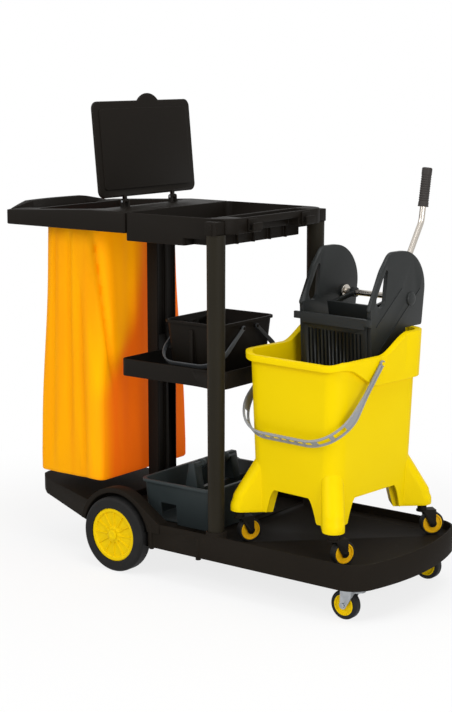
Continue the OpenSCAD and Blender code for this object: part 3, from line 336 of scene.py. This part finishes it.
def shell(name, skins, sharp=40):
    """Joins skins worked out in millimetres into one object in metres, closed where they meet."""
    one_point, one_edge = 1e-5, 1e-6
    starts = np.cumsum([0] + [len(points) for points, _ in skins[:-1]])
    points = np.vstack([points for points, _ in skins]) / 1000
    faces = np.vstack([faces + start for (_, faces), start in zip(skins, starts)])
    mesh = bpy.data.meshes.new(name)
    mesh.vertices.add(len(points))
    mesh.vertices.foreach_set("co", points.astype(np.float32).ravel())
    mesh.loops.add(faces.size)
    mesh.loops.foreach_set("vertex_index", faces.astype(np.int32).ravel())
    mesh.polygons.add(len(faces))
    mesh.polygons.foreach_set("loop_start", np.arange(0, faces.size, 4, dtype=np.int32))
    mesh.update(calc_edges=True)
    work = bmesh.new()
    work.from_mesh(mesh)
    bmesh.ops.remove_doubles(work, verts=work.verts, dist=one_point)
    bmesh.ops.dissolve_degenerate(work, edges=work.edges, dist=one_edge)
    bmesh.ops.recalc_face_normals(work, faces=work.faces)
    work.to_mesh(mesh)
    work.free()
    mesh.shade_smooth()
    mesh.set_sharp_from_angle(angle=math.radians(sharp))
    return bpy.data.objects.new(name, mesh)


def ease(first, last, value):
    """0 up to the first value, 1 from the last one on, and an easy curve between."""
    q = np.clip((value - first) / (last - first), 0, 1)
    return q * q * (3 - 2 * q)


low, mid, _ = box_of("tyre_r")
axle_x, axle_z, wheel_in = mid[0], mid[2], low[1]
bore_r, hub_r, ring_r, disc_r = 8.05, 20.0, 63.0, 72.4
face_out, cap_out, ribs = 40.0, 42.0, 12
hollow_d, boss_h, edge_h, rib_h, rib_half, rib_top = 5.0, 1.4, 1.2, 3.4, 2.2, 1.1
turn = np.linspace(0, 2 * np.pi, 288, endpoint=False)[None, :]


def turned(r, y, hand):
    """Carries a profile, radii and places out from the wheel's inner side, round the rear axle."""
    out = hand * (wheel_in + y + 0 * turn)
    return np.stack([axle_x + r * np.cos(turn), out, axle_z + r * np.sin(turn)], -1)


radius = np.concatenate([np.linspace(bore_r, hub_r, 8), np.linspace(hub_r + 0.4, ring_r, 36),
                         np.linspace(ring_r + 0.6, disc_r, 8)])[:, None]
pitch = 2 * np.pi / ribs
from_rib = np.abs((turn / pitch + 0.5) % 1 - 0.5) * pitch * radius
hollow = ease(hub_r - 2, hub_r + 5, radius) * (1 - ease(ring_r - 3, ring_r + 0.5, radius))
ribbed = ease(hub_r - 4, hub_r + 4, radius) * (1 - ease(ring_r - 3, ring_r, radius))
rib = ribbed * ease(rib_half, rib_top, from_rib)
boss = 1 - ease(bore_r + 0.95, hub_r - 2, radius)
edge = ease(disc_r - 1.9, disc_r, radius)
dish = boss_h * boss + rib_h * rib - hollow_d * hollow - edge_h * edge
back_r = np.array([disc_r, ring_r, ring_r, hub_r, hub_r, bore_r])[:, None]
back_y = np.array([1.0, 1.0, 24.0, 24.0, 4.0, 4.0])[:, None]
dome_r = np.array([0, 3, 5, 6.5, 10, 13, 13.8, 14, 14, 0])[:, None]
dome_y = np.array([2.2, 2.3, 2.9, 3.3, 3.2, 2.6, 1.8, 1.2, 0.3, 0.3])[:, None]
tyre = rubber("tyre_rubber", (0.009, 0.0088, 0.0086), rough=0.6)
disc_yellow = moulded("wheel_yellow", (0.8, 0.555, 0.0), (0.75, 0.49, 0.0), rough=0.4, grain=0.03, gloss=0.07)
for side, hand in (("l", -1), ("r", 1)):
    plain("tyre_" + side, tyre)
    disc = turned(np.vstack([radius, back_r]), np.vstack([face_out + dish, back_y + 0 * turn]), hand)
    dress(shell("wheel_disc_" + side, [skin(disc, wrap_rows=True)]), ["disc_" + side], "rear_wheel_" + side,
          disc_yellow)
    cap = turned(dome_r, cap_out + dome_y, hand)
    dress(shell("wheel_cap_" + side, [skin(cap)]), ["hub_cap_" + side], "cart", disc_yellow)


# Axle, caster plates, forks and bolts: pressed and turned steel with a bright zinc plating, brushed
# along its length and a little cloudy. The front casters' rubber treads run on yellow cores.
def plated(name, colour, rough, cloud, grain):
    """Plated steel: fine drawn lines and cloudy patches in its gloss."""
    material, base, link = finish_of(name, {"Metallic": 1.0})
    here = base.node("TexCoord", out="Object")
    lines = base.noise(base.node("Mapping", {}, {"Vector": here, "Scale": (60.0, 900.0, 900.0)}), 2.0, 2.0)
    patch = base.noise(here, 60.0, 4.0).step(0.35, 0.7)
    link(Base_Color=(patch * cloud).mix((*colour, 1), tuple(0.55 * c for c in colour) + (1,)),
         Roughness=rough + cloud * 0.24 * patch + 0.03 * lines,
         Normal=base.node("Bump", {}, {"Strength": grain, "Distance": 0.0003, "Height": lines}))
    return material


zinc = plated("zinc_steel", (0.42, 0.44, 0.46), rough=0.26, cloud=0.4, grain=0.05)
plain("rear_axle", zinc)
tread = rubber("tread_rubber", (0.010, 0.0098, 0.0096), rough=0.52)
for side in "lr":
    eased("caster_plate_" + side, "cart", zinc, width=0.8)
    eased("caster_fork_" + side, "front_swivel_" + side, zinc, width=0.7)
    eased("caster_bolt_" + side, "front_swivel_" + side, zinc, width=0.6)
    plain("caster_tread_" + side, tread)
    eased("caster_core_" + side, "front_wheel_" + side, disc_yellow, width=0.8)

# Lid: a flat moulding with a raised panel and a round thumb tab, which swings on two arms and two steel
# pins at the bag frame's front edge.
eased("bag_lid", "lid", black, width=3.6)
plain("lid_pins", zinc)


# Waste bag: a sewn bag of coated orange cloth. Its mouth is drawn in under the frame, its walls hang
# in soft upright folds and spread a little to a flat, sagging bottom.
def along(parts, first, second):
    """The points that lie a part of the way, 0 to 1, from the first set to the second."""
    return first * (1 - parts) + second * parts


def outline(half_a, half_b, corners, arc, side):
    """A rounded rectangle's points in order, with arc steps round each corner and side steps between them."""
    swing = np.linspace(0, np.pi / 2, arc + 1)
    signs = zip((1, -1, -1, 1), (1, 1, -1, -1), np.broadcast_to(corners, 4))
    rounds = [np.stack([x * (half_a - r) + r * np.cos(swing + quarter * np.pi / 2),
                        y * (half_b - r) + r * np.sin(swing + quarter * np.pi / 2)], -1)
              for quarter, (x, y, r) in enumerate(signs)]
    part = np.linspace(0, 1, side + 1)[1:-1, None]
    runs = [along(part, first[-1], after[0]) for first, after in zip(rounds, rounds[1:] + rounds[:1])]
    return np.vstack([piece for pair in zip(rounds, runs) for piece in pair])


def outward(ring):
    """The way out of closed outlines at each point: the line between its neighbours, turned by a quarter."""
    ahead = np.roll(ring, -1, -2) - np.roll(ring, 1, -2)
    way = np.stack([ahead[..., 1], -ahead[..., 0]], -1)
    return way / np.linalg.norm(way, axis=-1, keepdims=True)


def paced(ring):
    """How far round a closed outline each of its points lies, and the whole way round."""
    steps = np.linalg.norm(np.diff(ring, axis=0, append=ring[:1]), axis=1)
    return np.cumsum(steps) - steps, steps.sum()


def cloth(name, colour, shade):
    """Coated cloth: a fine weave, slow creases with painted shade in stripes along them, and painted shade
    and painted light as emission on the forward face.
    """
    material, base, link = finish_of(name, {"Specular IOR Level": 0.05, "Emission Strength": 1.0})
    here = base.node("TexCoord", out="Object")
    place = base.node("SeparateXYZ", {}, {0: here})
    ahead, side, up = (Socket(place.tree, place.link.node.outputs[k]) for k in range(3))
    warp, weft = (base.node("TexWave", {"wave_type": "BANDS", "bands_direction": way},
                            {"Vector": here, "Scale": scale}, "Fac")
                  for way, scale in (("Z", 420.0), ("DIAGONAL", 300.0)))
    crease_and_painted_shade = base.noise(base.node("Mapping", {}, {"Vector": here, "Scale": (9.0, 9.0, 0.9)}), 2.4, 1.0)
    # The forward face keeps its colour up to a line, which lies farther across it the higher it is, and has
    # painted shade beyond; all of it has painted light as emission.
    front = ahead.step(-0.33, -0.282)
    lit_to = 0.13 * up.step(0.42, 0.68) + 0.04 * up.step(0.62, 0.86) - 0.2
    painted_shade_mask = front * (side - lit_to).step(-0.01, 0.075)
    # Painted light for the emission: orange, and redder where the painted shade lies.
    painted_glow = painted_shade_mask.mix((0.40, 0.135, 0.0, 1), (0.36, 0.05, 0.002, 1))
    relief = {"Strength": 0.2, "Distance": 0.0025, "Height": crease_and_painted_shade + warp * 0.03 + weft * 0.03}
    # Base colour: painted shade beyond the line and in stripes along the creases.
    link(Base_Color=(painted_shade_mask * 0.92 + crease_and_painted_shade.step(0.35, 0.7) * 0.22).mix((*colour, 1), (*shade, 1)),
         Emission_Color=front.mix((0, 0, 0, 1), painted_glow),
         Roughness=0.5 + 0.12 * crease_and_painted_shade,
         Normal=base.node("Bump", {}, relief))
    return material


low, mid, high = box_of("waste_bag")
bag_x, bag_top, bag_foot, foot_round = mid[0], high[2] - 0.1, low[2] - 2.0, 6.0
mouth_a, mouth_b, flare, widest_at, foot_corner = 103.0, 176.0, 12.0, 0.94, 30.0
arc, side = 14, 40
quarter = arc + side
drop = np.linspace(0, 1, 96)
spread = np.clip(drop / widest_at, 0, 1)
near_corner = along(ease(0.25, 0.7, drop), 66.0, 14.0)
other_corners = along(ease(0.2, 0.8, drop), 44.0, 16.0)
ring = np.stack([outline(mouth_a + flare * q, mouth_b + flare * q, (b, b, b, a), arc, side)
                 for q, a, b in zip(spread, near_corner, other_corners)])

# Where each point lies round the bag. On the near and the forward face that goes by its place across the
# face, so that a fold stays there while the bag widens.
near_middle, front_middle = 712.0, 1002.0
near = slice(2 * quarter + arc, 3 * quarter + 1)
bend = slice(3 * quarter, 3 * quarter + arc + 1)
front = slice(3 * quarter + arc, 4 * quarter)
travel, girth = paced(outline(mouth_a + flare, mouth_b + flare, foot_corner, arc, side))
around = np.tile(travel, (len(drop), 1))
spread, drop = spread[:, None], drop[:, None]
around[:, near] = near_middle + ring[:, near, 0] * (mouth_a + flare) / (mouth_a + flare * spread)
around[:, front] = front_middle + ring[:, front, 1] * (mouth_b + flare) / (mouth_b + flare * spread)
around[:, bend] = along(np.linspace(0, 1, arc + 1), around[:, bend][:, :1], around[:, bend][:, -1:])

# Each fold: its place round the bag, how far it leans, its width and depth, and where it starts and ends.
folds = ((40, 10, 17, -5.0, -0.3, 0.95), (84, -6, 13, 3.0, -0.2, 0.8), (150, 14, 22, -6.0, -0.3, 0.7),
         (214, -12, 16, -4.5, 0.1, 1.0), (310, 10, 20, -5.0, -0.3, 0.8), (430, -14, 22, -5.0, -0.3, 0.9),
         (500, 8, 15, 3.0, -0.2, 0.9), (556, -8, 18, -5.0, -0.2, 1.0), (648, -4, 9, -5.5, -0.2, 0.95),
         (674, -4, 14, 4.0, -0.3, 1.0), (706, 6, 10, -7.0, -0.2, 0.85), (728, 4, 10, 3.5, -0.2, 0.8),
         (742, 24, 9, -7.5, 0.15, 1.0), (784, 12, 16, 4.5, -0.3, 1.0), (802, 108, 9, -12.0, -0.3, 0.62),
         (840, 80, 24, 6.0, -0.2, 0.5), (950, -16, 24, -5.0, -0.2, 0.9), (1030, 10, 20, -4.5, -0.3, 0.8),
         (1100, -8, 16, 3.0, 0.0, 1.0))
deepest, highest = -12.0, 5.0
hang = np.zeros(ring.shape[:2])
for place, lean, width, depth, start, end in folds:
    away = (around - place - lean * drop + girth / 2) % girth - girth / 2
    reach = ease(start - 0.01, start + 0.2, drop) * (1 - ease(end - 0.15, end + 0.1, drop))
    hang += depth * np.exp(-(away / width) ** 2) * ease(-0.02, 0.1, drop) * reach
wall = ring + outward(ring) * np.clip(hang, deepest, highest)[..., None]
height = along(drop, bag_top, bag_foot + foot_round) + 0 * hang
sides = np.stack([bag_x + wall[..., 0], wall[..., 1], height], -1)

# The foot turns in round its edge, then runs flat to the middle.
round_share, flat_share = 0.035, 0.96
tuck = np.linspace(0, 1, 14)[1:, None]
turn_in = np.clip(tuck * 4, 0, 1) * np.pi / 2
shrink = 1 - round_share * (1 - np.cos(turn_in)) - flat_share * np.clip(tuck * 1.33 - 0.33, 0, 1)
last = wall[-1:]
foot = np.stack([bag_x + last[..., 0] * shrink, last[..., 1] * shrink,
                 bag_foot + foot_round * (1 - np.sin(turn_in)) + 0 * last[..., 0]], -1)
bag = shell("waste_bag_cloth", [skin(np.concatenate([sides, foot]))], sharp=75)
thick = bag.modifiers.new("thickness", "SOLIDIFY")
thick.thickness, thick.offset = 0.0012, 1.0
# The second colour is painted shade, for the bag's forward face and the stripes along its creases.
orange = cloth("bag_cloth", (0.9, 0.375, 0.0), (0.78, 0.15, 0.004))
dress(bag, ["waste_bag"], "cart", orange)


# Shelf bucket: a small tapered pail of black plastic that stands in the shelf, with a grey strap bail
# hanging to the near side and a dark one to the far side, each on two pins.
def closed_ends(path, grid):
    """Draws the first and the last section of a carried profile together on its path."""
    return np.concatenate([path[:1, None] + 0 * grid[:1], grid, path[-1:, None] + 0 * grid[-1:]])


def ways(path):
    """The unit way ahead at each point of a path."""
    ahead = np.gradient(path, axis=0)
    return ahead / np.linalg.norm(ahead, axis=1, keepdims=True)


def strap(path, across, half_w, half_t, lip):
    """Carries a flat section with rounded corners along a path. Across is its wide way, sizes may vary."""
    thin = np.cross(ways(path), across)
    half_w = np.broadcast_to(half_w, len(path))[:, None]
    half_t = np.broadcast_to(half_t, len(path))[:, None]
    lip = np.minimum(lip, 0.45 * np.minimum(half_w, half_t))
    x, y = np.repeat([(1, 1), (-1, 1), (-1, -1), (1, -1)], 3, axis=0).T
    swing = np.radians([90 * quarter + part for quarter in range(4) for part in (0, 45, 90)])
    w = (x * (half_w - lip) + lip * np.cos(swing))[..., None]
    t = (y * (half_t - lip) + lip * np.sin(swing))[..., None]
    return skin(closed_ends(path, path[:, None] + w * across + t * thin[:, None]))


def hoop(half, reach, corner, steps):
    """The middle line of a bail in its own plane: down one arm, round, across, round and up the other."""
    arm, bend, run = reach - corner, corner * np.pi / 2, 2 * (half - corner)
    s = np.linspace(0, 2 * arm + 2 * bend + run, steps)
    turn_1 = np.clip((s - arm) / bend, 0, 1) * np.pi / 2
    turn_2 = np.clip((s - arm - bend - run) / bend, 0, 1) * np.pi / 2
    x = -half + corner * (1 - np.cos(turn_1)) + np.clip(s - arm - bend, 0, run) + corner * np.sin(turn_2)
    down = np.clip(s, 0, arm) + corner * np.sin(turn_1)
    up = corner * (1 - np.cos(turn_2)) + np.clip(s - arm - 2 * bend - run, 0, arm)
    return s - s[-1] / 2, np.stack([x, 0 * x, up - down], -1)


def spun(x, r, v=0.0, z=0.0, steps=32):
    """Carries a profile of places along X and radii round a line along X through v and z."""
    spin = np.linspace(0, 2 * np.pi, steps, endpoint=False)
    x, r = np.array(x)[:, None], np.array(r)[:, None]
    return np.stack([x + 0 * spin, v + r * np.cos(spin), z + r * np.sin(spin)], -1)


def eye_ring(x, hole, outer, half_t):
    """A flat eye at the origin of a bail's plane, round a pin along X."""
    trim = 0.6
    r = [hole, outer - trim, outer, outer, outer - trim, hole]
    t = np.array([half_t, half_t, half_t - trim, trim - half_t, -half_t, -half_t])
    return skin(spun(x + t, r, steps=40), wrap_rows=True)


def swung(skins, angle, pivot):
    """Turns skins about X by an angle in degrees, and carries them to a pivot."""
    c, s = math.cos(math.radians(angle)), math.sin(math.radians(angle))
    turn = np.array([[1, 0, 0], [0, c, -s], [0, s, c]])
    return [(points @ turn.T + np.array(pivot), faces) for points, faces in skins]


eased("shelf_bucket", "pail", black, width=1.2)
low, mid, _ = box_of("shelf_bucket")
strap_half, strap_reach, strap_bend, strap_lean = 102.0, 148.0, 62.0, 52.0
pin_aside, pin_up, below_eye = 30.0, 129.0, -5.5
across = np.array([0, 1.0, 0])
_, line = hoop(strap_half, strap_reach, strap_bend, 150)
line = line[line[:, 2] < below_eye]
widths = along(ease(-20, -90, line[:, 2]), 5.5, 7.0)
parts = [strap(line, across, widths, 1.9, lip=1.2)]
parts += [eye_ring(x, hole=4.06, outer=7.0, half_t=2.0) for x in (-strap_half, strap_half)]
bail_slate = moulded("bail_slate", (0.075, 0.08, 0.085), (0.06, 0.064, 0.068),
                     rough=0.4, grain=0.05, gloss=0.2)
bail_dark = moulded("bail_dark", (0.02, 0.021, 0.022), (0.027, 0.028, 0.03),
                    rough=0.4, grain=0.05, gloss=0.2)
for name, hand, body, finish in (("near", -1, "pail_bail_a", bail_slate),
                                 ("far", 1, "pail_bail_b", bail_dark)):
    moved = swung(parts, hand * strap_lean, (mid[0], mid[1] + hand * pin_aside, low[2] + pin_up))
    dress(shell("pail_strap_" + name, moved), ["pail_bail_" + name], body, finish)

# Caddy: a tool carrier of blue-grey plastic that stands on the deck, moulded with a hollow near wall
# and a wall across its middle, with a bumpy bridge handle over it.
caddy_grey = moulded("caddy_plastic", (0.029, 0.0375, 0.039), (0.036, 0.046, 0.048),
                     rough=0.42, grain=0.08, gloss=0.2)
eased("caddy", "tool_caddy", caddy_grey, width=1.3)
eased("caddy_handle", "tool_caddy", caddy_grey, width=2.0)

# Mop bucket: one thick moulding of bright yellow plastic. Its walls taper to the bottom, its rim is
# rolled out and sweeps up into a saddle for the wringer, and each corner runs out into a splayed leg.
low, mid, _ = box_of("mop_bucket")
leg_low, park_turn = 85.0, math.radians(-5.2)
park_place = np.array([mid[0], mid[1], low[2] - leg_low])


def parked(skins):
    """Carries skins from the bucket's own axes, in millimetres, to where it is parked on the deck."""
    c, s = math.cos(park_turn), math.sin(park_turn)
    turn = np.array([[c, -s, 0], [s, c, 0], [0, 0, 1]])
    return [(points @ turn.T + park_place, faces) for points, faces in skins]


wall_t, bottom_z, floor_z, inner_z, rim_low, rim_z = 4.0, 149.0, 151.0, 155.0, 490.0, 550.0


def rim_height(v):
    """A short straight rise at the low end, a level stretch, then an easy sweep up to the wringer."""
    end_v, end_run, end_rise = -187.0, 37.0, 12.0
    sweep_from, sweep_to = -10.0, 106.0
    level = rim_low + end_rise * np.clip((v - end_v) / end_run, 0, 1)
    return level + (rim_z - rim_low - end_rise) * ease(sweep_from, sweep_to, v)


def band_height(v):
    """The lower edge of the rolled rim, which widens to a deep band beside the wringer."""
    roll_h, band_h, level_v = 16.0, 56.0, -150.0
    widens_from, widens_to = -160.0, -20.0
    return rim_height(np.minimum(v, level_v)) - roll_h - band_h * ease(widens_from, widens_to, v)


base_u, base_v, top_u, top_v, corner_r = 139.0, 165.0, 154.0, 173.0, 44.0
arc, side = 16, 60
base_ring = outline(base_u, base_v, corner_r, arc, side)
top_ring = outline(top_u, top_v, corner_r, arc, side)


def wall_at(z, out=0.0, share=1.0):
    """The wall's plan at each point's height, moved out or in along its normal and drawn in to a share."""
    z = np.broadcast_to(z, len(base_ring))[:, None]
    plan = along((z - floor_z) / (rim_z - floor_z), base_ring, top_ring) + outward(base_ring) * out
    return np.column_stack([plan * share, z])


travel, total = paced(base_ring)
corner_mid = travel[arc // 2::arc + side]
from_corner = np.min(np.abs((travel[:, None] - corner_mid + total / 2) % total - total / 2), 1)
corner_drop, corner_half, sweep, sweep_power = 64.0, 46.0, 30.0, 1.7
hem = floor_z - corner_drop * (1 - np.clip((from_corner - corner_half) / sweep, 0, 1)) ** sweep_power
lip_top, lip_low = rim_height(top_ring[:, 1]), band_height(top_ring[:, 1])
rows = [wall_at(bottom_z, -wall_t, share) for share in (0.0, 0.5, 0.9)]
rows += [wall_at(along(part, bottom_z, hem + 1), -wall_t) for part in np.linspace(0, 1, 6)]
rows += [wall_at(hem, -wall_t + 0.8), wall_at(hem, -0.8)]
rows += [wall_at(along(part, hem + 0.8, lip_low)) for part in np.linspace(0, 1, 40)]
rows += [wall_at(lip_low + up, out) for out, up in ((13.0, 0.0), (14.0, 1.0))]
rows += [wall_at(lip_top - down, out)
         for out, down in ((14.0, 1.6), (13.4, 0.5), (12.2, 0.0), (-3.0, 0.0), (-wall_t, 1.0))]
rows += [wall_at(along(part, lip_top - 1, inner_z + 6), -wall_t) for part in np.linspace(0, 1, 24)[1:]]
rows += [wall_at(inner_z, -wall_t, share) for share in (0.96, 0.5, 0.0)]
parts = [skin(np.stack(rows))]

leg_r, leg_end, shoulder, hip, heel = 28.0, 115.3, 115.0, 224.0, 9.0
lean_back, dent, dent_half = 67.0, 5.0, 8.0
wall_from, into_wall, wall_r = 150.0, 4.2, 42.0
root_u, root_v, foot_u, foot_v = 92.0, 118.0, 154.0, 185.0


def stands_back(z):
    """How far a leg's front stands back at a height: a steady lean above the shoulder, and a dent at it."""
    lean = max(z - shoulder, 0) * lean_back / (hip - shoulder)
    return lean + dent * math.exp(-((z - shoulder) / dent_half) ** 2)


# Each row of a leg: its height, how far its front stands back, and how far its foot's edge is drawn in.
leg_rows = [(leg_low, 0, 2.0), (leg_low + 0.6, 0, 0.6), (leg_low + 2, 0, 0)]
leg_rows += [(z, stands_back(z), 0) for z in (95, 100, 105, 109, 112, 115, 118, 121, 125, 130)]
leg_rows += [(z, stands_back(z), 0) for z in (wall_from - 0.1, wall_from + 0.1, 160, 175, 190, 205, 215, hip)]
bend = np.linspace(-np.pi / 2, np.pi / 2, 33)
for u, v in ((1, 1), (-1, 1), (-1, -1), (1, -1)):
    root, foot = np.array([u * root_u, v * root_v]), np.array([u * foot_u, v * foot_v])
    way = (foot - root) / np.linalg.norm(foot - root)
    aside = np.array([-way[1], way[0]])
    loft = []
    for z, back, inset in leg_rows:
        slide = (leg_r - inset) * np.sin(bend)
        front = leg_end - leg_r - back + (leg_r - inset) * np.cos(bend)
        if z > wall_from:
            rear = into_wall + np.sqrt(wall_r ** 2 - slide ** 2)
        else:
            rear = heel + inset - (z - leg_low) / 4 + 0 * slide
        depth = np.concatenate([front, np.minimum(rear, front - 0.3)[::-1]])[:, None]
        plan = root + depth * way + np.concatenate([slide, slide[::-1]])[:, None] * aside
        loft.append(np.column_stack([plan, np.full(len(plan), z)]))
    loft = [0 * loft[0] + loft[0].mean(0)] + loft + [0 * loft[-1] + loft[-1].mean(0)]
    parts.append(skin(np.stack(loft)))
bucket_yellow = moulded("bucket_yellow", (0.81, 0.59, 0.0), (0.79, 0.565, 0.0),
                        rough=0.36, grain=0.03, gloss=0.05)
bucket_skin = shell("mop_bucket_skin", parked(parts), sharp=30)
pivot_v, pivot_z = -22.0, 486.0
pin_x, pin_r = np.array([160.0, 160.0, 177.4, 178.0, 178.0]), [0.0, 5.0, 5.0, 4.4, 0.0]
pins = [skin(spun(hand * pin_x, pin_r, pivot_v, pivot_z)) for hand in (-1, 1)]
pin_piece = shell("mop_bucket_pins", parked(pins))
dress(bucket_skin, ["mop_bucket"], "bucket", bucket_yellow)
dress(pin_piece, [], "bucket", bucket_yellow)

# Bail of the mop bucket: a grey plastic strap with two thick edges and a thin web between them, pierced
# by a row of holes along its grip and two long ones in each bend, with finger ridges along one edge.
bail_half, bail_reach, bail_bend, bail_lean = 172.0, 255.0, 107.0, -42.3
rail_half, rail_t, web_t, ridge_pitch, ridge_t = 2.2, 3.0, 1.4, 11.0, 0.9
grip_end, hole_pitch, hole_half, long_half = 78, 26, 9.0, 17.0
s, line = hoop(bail_half, bail_reach, bail_bend, 420)
wide = along(ease(300, 200, np.abs(s)), 6.5, 13.5)
wave = ridge_t * (0.5 + 0.5 * np.cos(s / ridge_pitch * 2 * np.pi)) * ease(82, 70, np.abs(s))
below_eye = line[:, 2] < -6.5
parts = []
for hand, ridges in ((-1, wave[below_eye]), (1, 0)):
    rail = line + across * hand * (wide - rail_half)[:, None]
    parts.append(strap(rail[below_eye], across, rail_half, rail_t + ridges, lip=1.2))
holes = [(place, hole_half) for place in range(-grip_end, grip_end + 1, hole_pitch)]
holes += [(hand * place, long_half) for hand in (-1, 1) for place in (122, 168)]
solid = below_eye.copy()
for place, half in holes:
    solid &= np.abs(s - place) > half
ends = np.flatnonzero(np.diff(np.concatenate([[0], solid.astype(int), [0]])))
for first, last in zip(ends[::2], ends[1::2]):
    if last - first > 3:
        parts.append(strap(line[first:last], across, wide[first:last] - rail_half, web_t, lip=0.6))
parts += [eye_ring(x, hole=5.06, outer=8.5, half_t=3.0) for x in (-bail_half, bail_half)]
bail_grey = moulded("bail_grey", (0.27, 0.275, 0.285), (0.225, 0.23, 0.24), rough=0.38, grain=0.05, gloss=0.3)
mop_strap = shell("mop_strap", parked(swung(parts, bail_lean, (0, pivot_v, pivot_z))))
dress(mop_strap, ["mop_bail"], "bucket_bail", bail_grey)

# Casters of the mop bucket: small twin-walled forks of dark plastic on a swivel neck, each with a
# black tread over an orange-yellow core.
core_yellow = moulded("caster_yellow", (0.80, 0.46, 0.001), (0.72, 0.34, 0.001),
                      rough=0.34, grain=0.03, gloss=0.15)
for corner in ("nl", "nr", "fl", "fr"):
    eased("fork_" + corner, "bucket_swivel_" + corner, black, width=0.8)
    plain("tread_" + corner, tread)
    eased("core_" + corner, "bucket_wheel_" + corner, core_yellow, width=0.8)


# Wringer: two thick cheeks of charcoal plastic with slanted front edges that sit on the bucket's rim, a
# basket with a slotted front panel between them, a press plate on two arms round the shaft, and a thin
# round cover over each of the shaft's ends.
def slanted(thing, middle, thin, thick):
    """Draws the inner line of a plate's stepped edge out to the plate's face, so that the step is a slope."""
    same_level, same_line, one_point = 0.1, 0.05, 2e-4
    over = np.array([math.cos(park_turn), math.sin(park_turn), 0])
    ahead = np.array([-math.sin(park_turn), math.cos(park_turn), 0])
    points = np.empty(len(thing.data.vertices) * 3)
    thing.data.vertices.foreach_get("co", points)
    points = points.reshape(-1, 3) * 1000
    level = (points - park_place) @ over - middle
    flat = np.column_stack([(points - park_place) @ ahead, points[:, 2]])
    outer = flat[np.abs(np.abs(level) - thick) < same_level]
    inner = np.flatnonzero(np.abs(np.abs(level) - thin) < same_level)
    apart = np.linalg.norm(flat[inner, None] - outer[None], axis=2).min(1)
    stepped = inner[apart < same_line]
    points[stepped] += np.sign(level[stepped])[:, None] * (thick - thin) * over
    thing.data.vertices.foreach_set("co", (points / 1000).ravel())
    work = bmesh.new()
    work.from_mesh(thing.data)
    bmesh.ops.remove_doubles(work, verts=work.verts, dist=one_point)
    work.to_mesh(thing.data)
    work.free()


cheek_mid, cheek_thin, cheek_half = 109.0, 3.0, 6.0
shaft_v, shaft_z = 170.0, 622.0
charcoal = moulded("charcoal_plastic", (0.0135, 0.0152, 0.015), (0.018, 0.02, 0.0198),
                   rough=0.34, grain=0.05, gloss=0.23)
for node, hand in (("cheek_l", -1), ("cheek_r", 1)):
    cheek = eased(node, "wringer", charcoal, width=1.6)
    slanted(cheek, hand * cheek_mid, cheek_thin, cheek_half)
eased("wringer_basket", "wringer", charcoal, width=0.8)
cover_u = np.array([117.1, 120.4, 120.4, 121.4, 121.2, 120.3, 118.9, 117.6, 117.1])
cover_r = [8.4, 8.4, 0.02, 0.02, 9.0, 14.0, 17.0, 18.0, 18.0]
covers = [skin(spun(hand * cover_u, cover_r, shaft_v, shaft_z), wrap_rows=True) for hand in (-1, 1)]
dress(shell("cheek_covers", parked(covers)), [], "wringer", charcoal)
eased("presser", "press", charcoal, width=1.0)


# Lever: a bent tube of polished steel on a steel shaft with two collars, and a ribbed rubber grip
# pushed over its end.
def bent(points, radius, steps=12):
    """A line through corner points, with each inner corner rounded to an arc."""
    line = [points[0]]
    for before, corner, after in zip(points, points[1:], points[2:]):
        back, on = ((end - corner) / np.linalg.norm(end - corner) for end in (before, after))
        half = np.arccos(np.clip(back @ on, -1, 1)) / 2
        middle = corner + (back + on) / np.linalg.norm(back + on) * radius / np.sin(half)
        start, finish = (corner + way * radius / np.tan(half) - middle for way in (back, on))
        spokes = along(np.linspace(0, 1, steps)[:, None], start, finish)
        line += list(middle + spokes / np.linalg.norm(spokes, axis=1, keepdims=True) * radius)
    return np.array(line + [points[-1]])


def pipe(path, radius, sides=40):
    """A round tube along a line that lies across X, closed at both ends; its radius may vary."""
    over = np.array([1.0, 0, 0])
    up = np.cross(ways(path), over)
    spin = np.linspace(0, 2 * np.pi, sides, endpoint=False)[None, :, None]
    radius = np.broadcast_to(radius, len(path))[:, None, None]
    grid = path[:, None] + radius * (np.cos(spin) * over + np.sin(spin) * up[:, None])
    return skin(closed_ends(path, grid))


lever_u, tube_r, bend_r, tube_from = 85.4, 8.0, 45.0, 0.11
places = [np.array([lever_u, shaft_v, shaft_z])]
for lean, length in ((14.2, 102.0), (31.6, 107.0), (9.0, 134.0)):
    way = np.array([0, math.sin(math.radians(lean)), math.cos(math.radians(lean))])
    places.append(places[-1] + length * way)
chrome = plated("chrome_steel", (0.5, 0.46, 0.41), rough=0.2, cloud=0.1, grain=0.006)
eased("wringer_shaft", "lever", chrome, width=1.0)
start = along(tube_from, places[0], places[1])
parts = [pipe(bent([start] + places[1:], bend_r), tube_r)]
parts += swung([eye_ring(lever_u, hole=8.05, outer=14.0, half_t=8.0)], 0, (0, shaft_v, shaft_z))
dress(shell("lever_bent_tube", parked(parts)), ["lever_tube"], "lever", chrome)

grip_from, grip_to, grip_r, ridge_pitch, ridge_t = 39.0, 140.0, 12.9, 6.0, 0.55
ridges_from, ridges_long, round_long, round_in = 50.0, 72.0, 3.0, 2.5
run = np.linspace(grip_from, grip_to, 203)
ridge = ridge_t * np.cos(np.clip(run - ridges_from, 0, ridges_long) / ridge_pitch * 2 * np.pi)
end_round = round_in * np.clip((run - grip_to) / round_long + 1, 0, 1) ** 2
collar = 0.6 * ease(grip_from + 4, grip_from + 2, run) - 1.2 * ease(grip_from + 1, grip_from, run)
sleeve = pipe(places[2] + run[:, None] * way, grip_r + ridge - end_round + collar)
grip = rubber("grip_rubber", (0.036, 0.032, 0.03), rough=0.5)
dress(shell("lever_sleeve", parked([sleeve])), ["lever_grip"], "lever", grip)
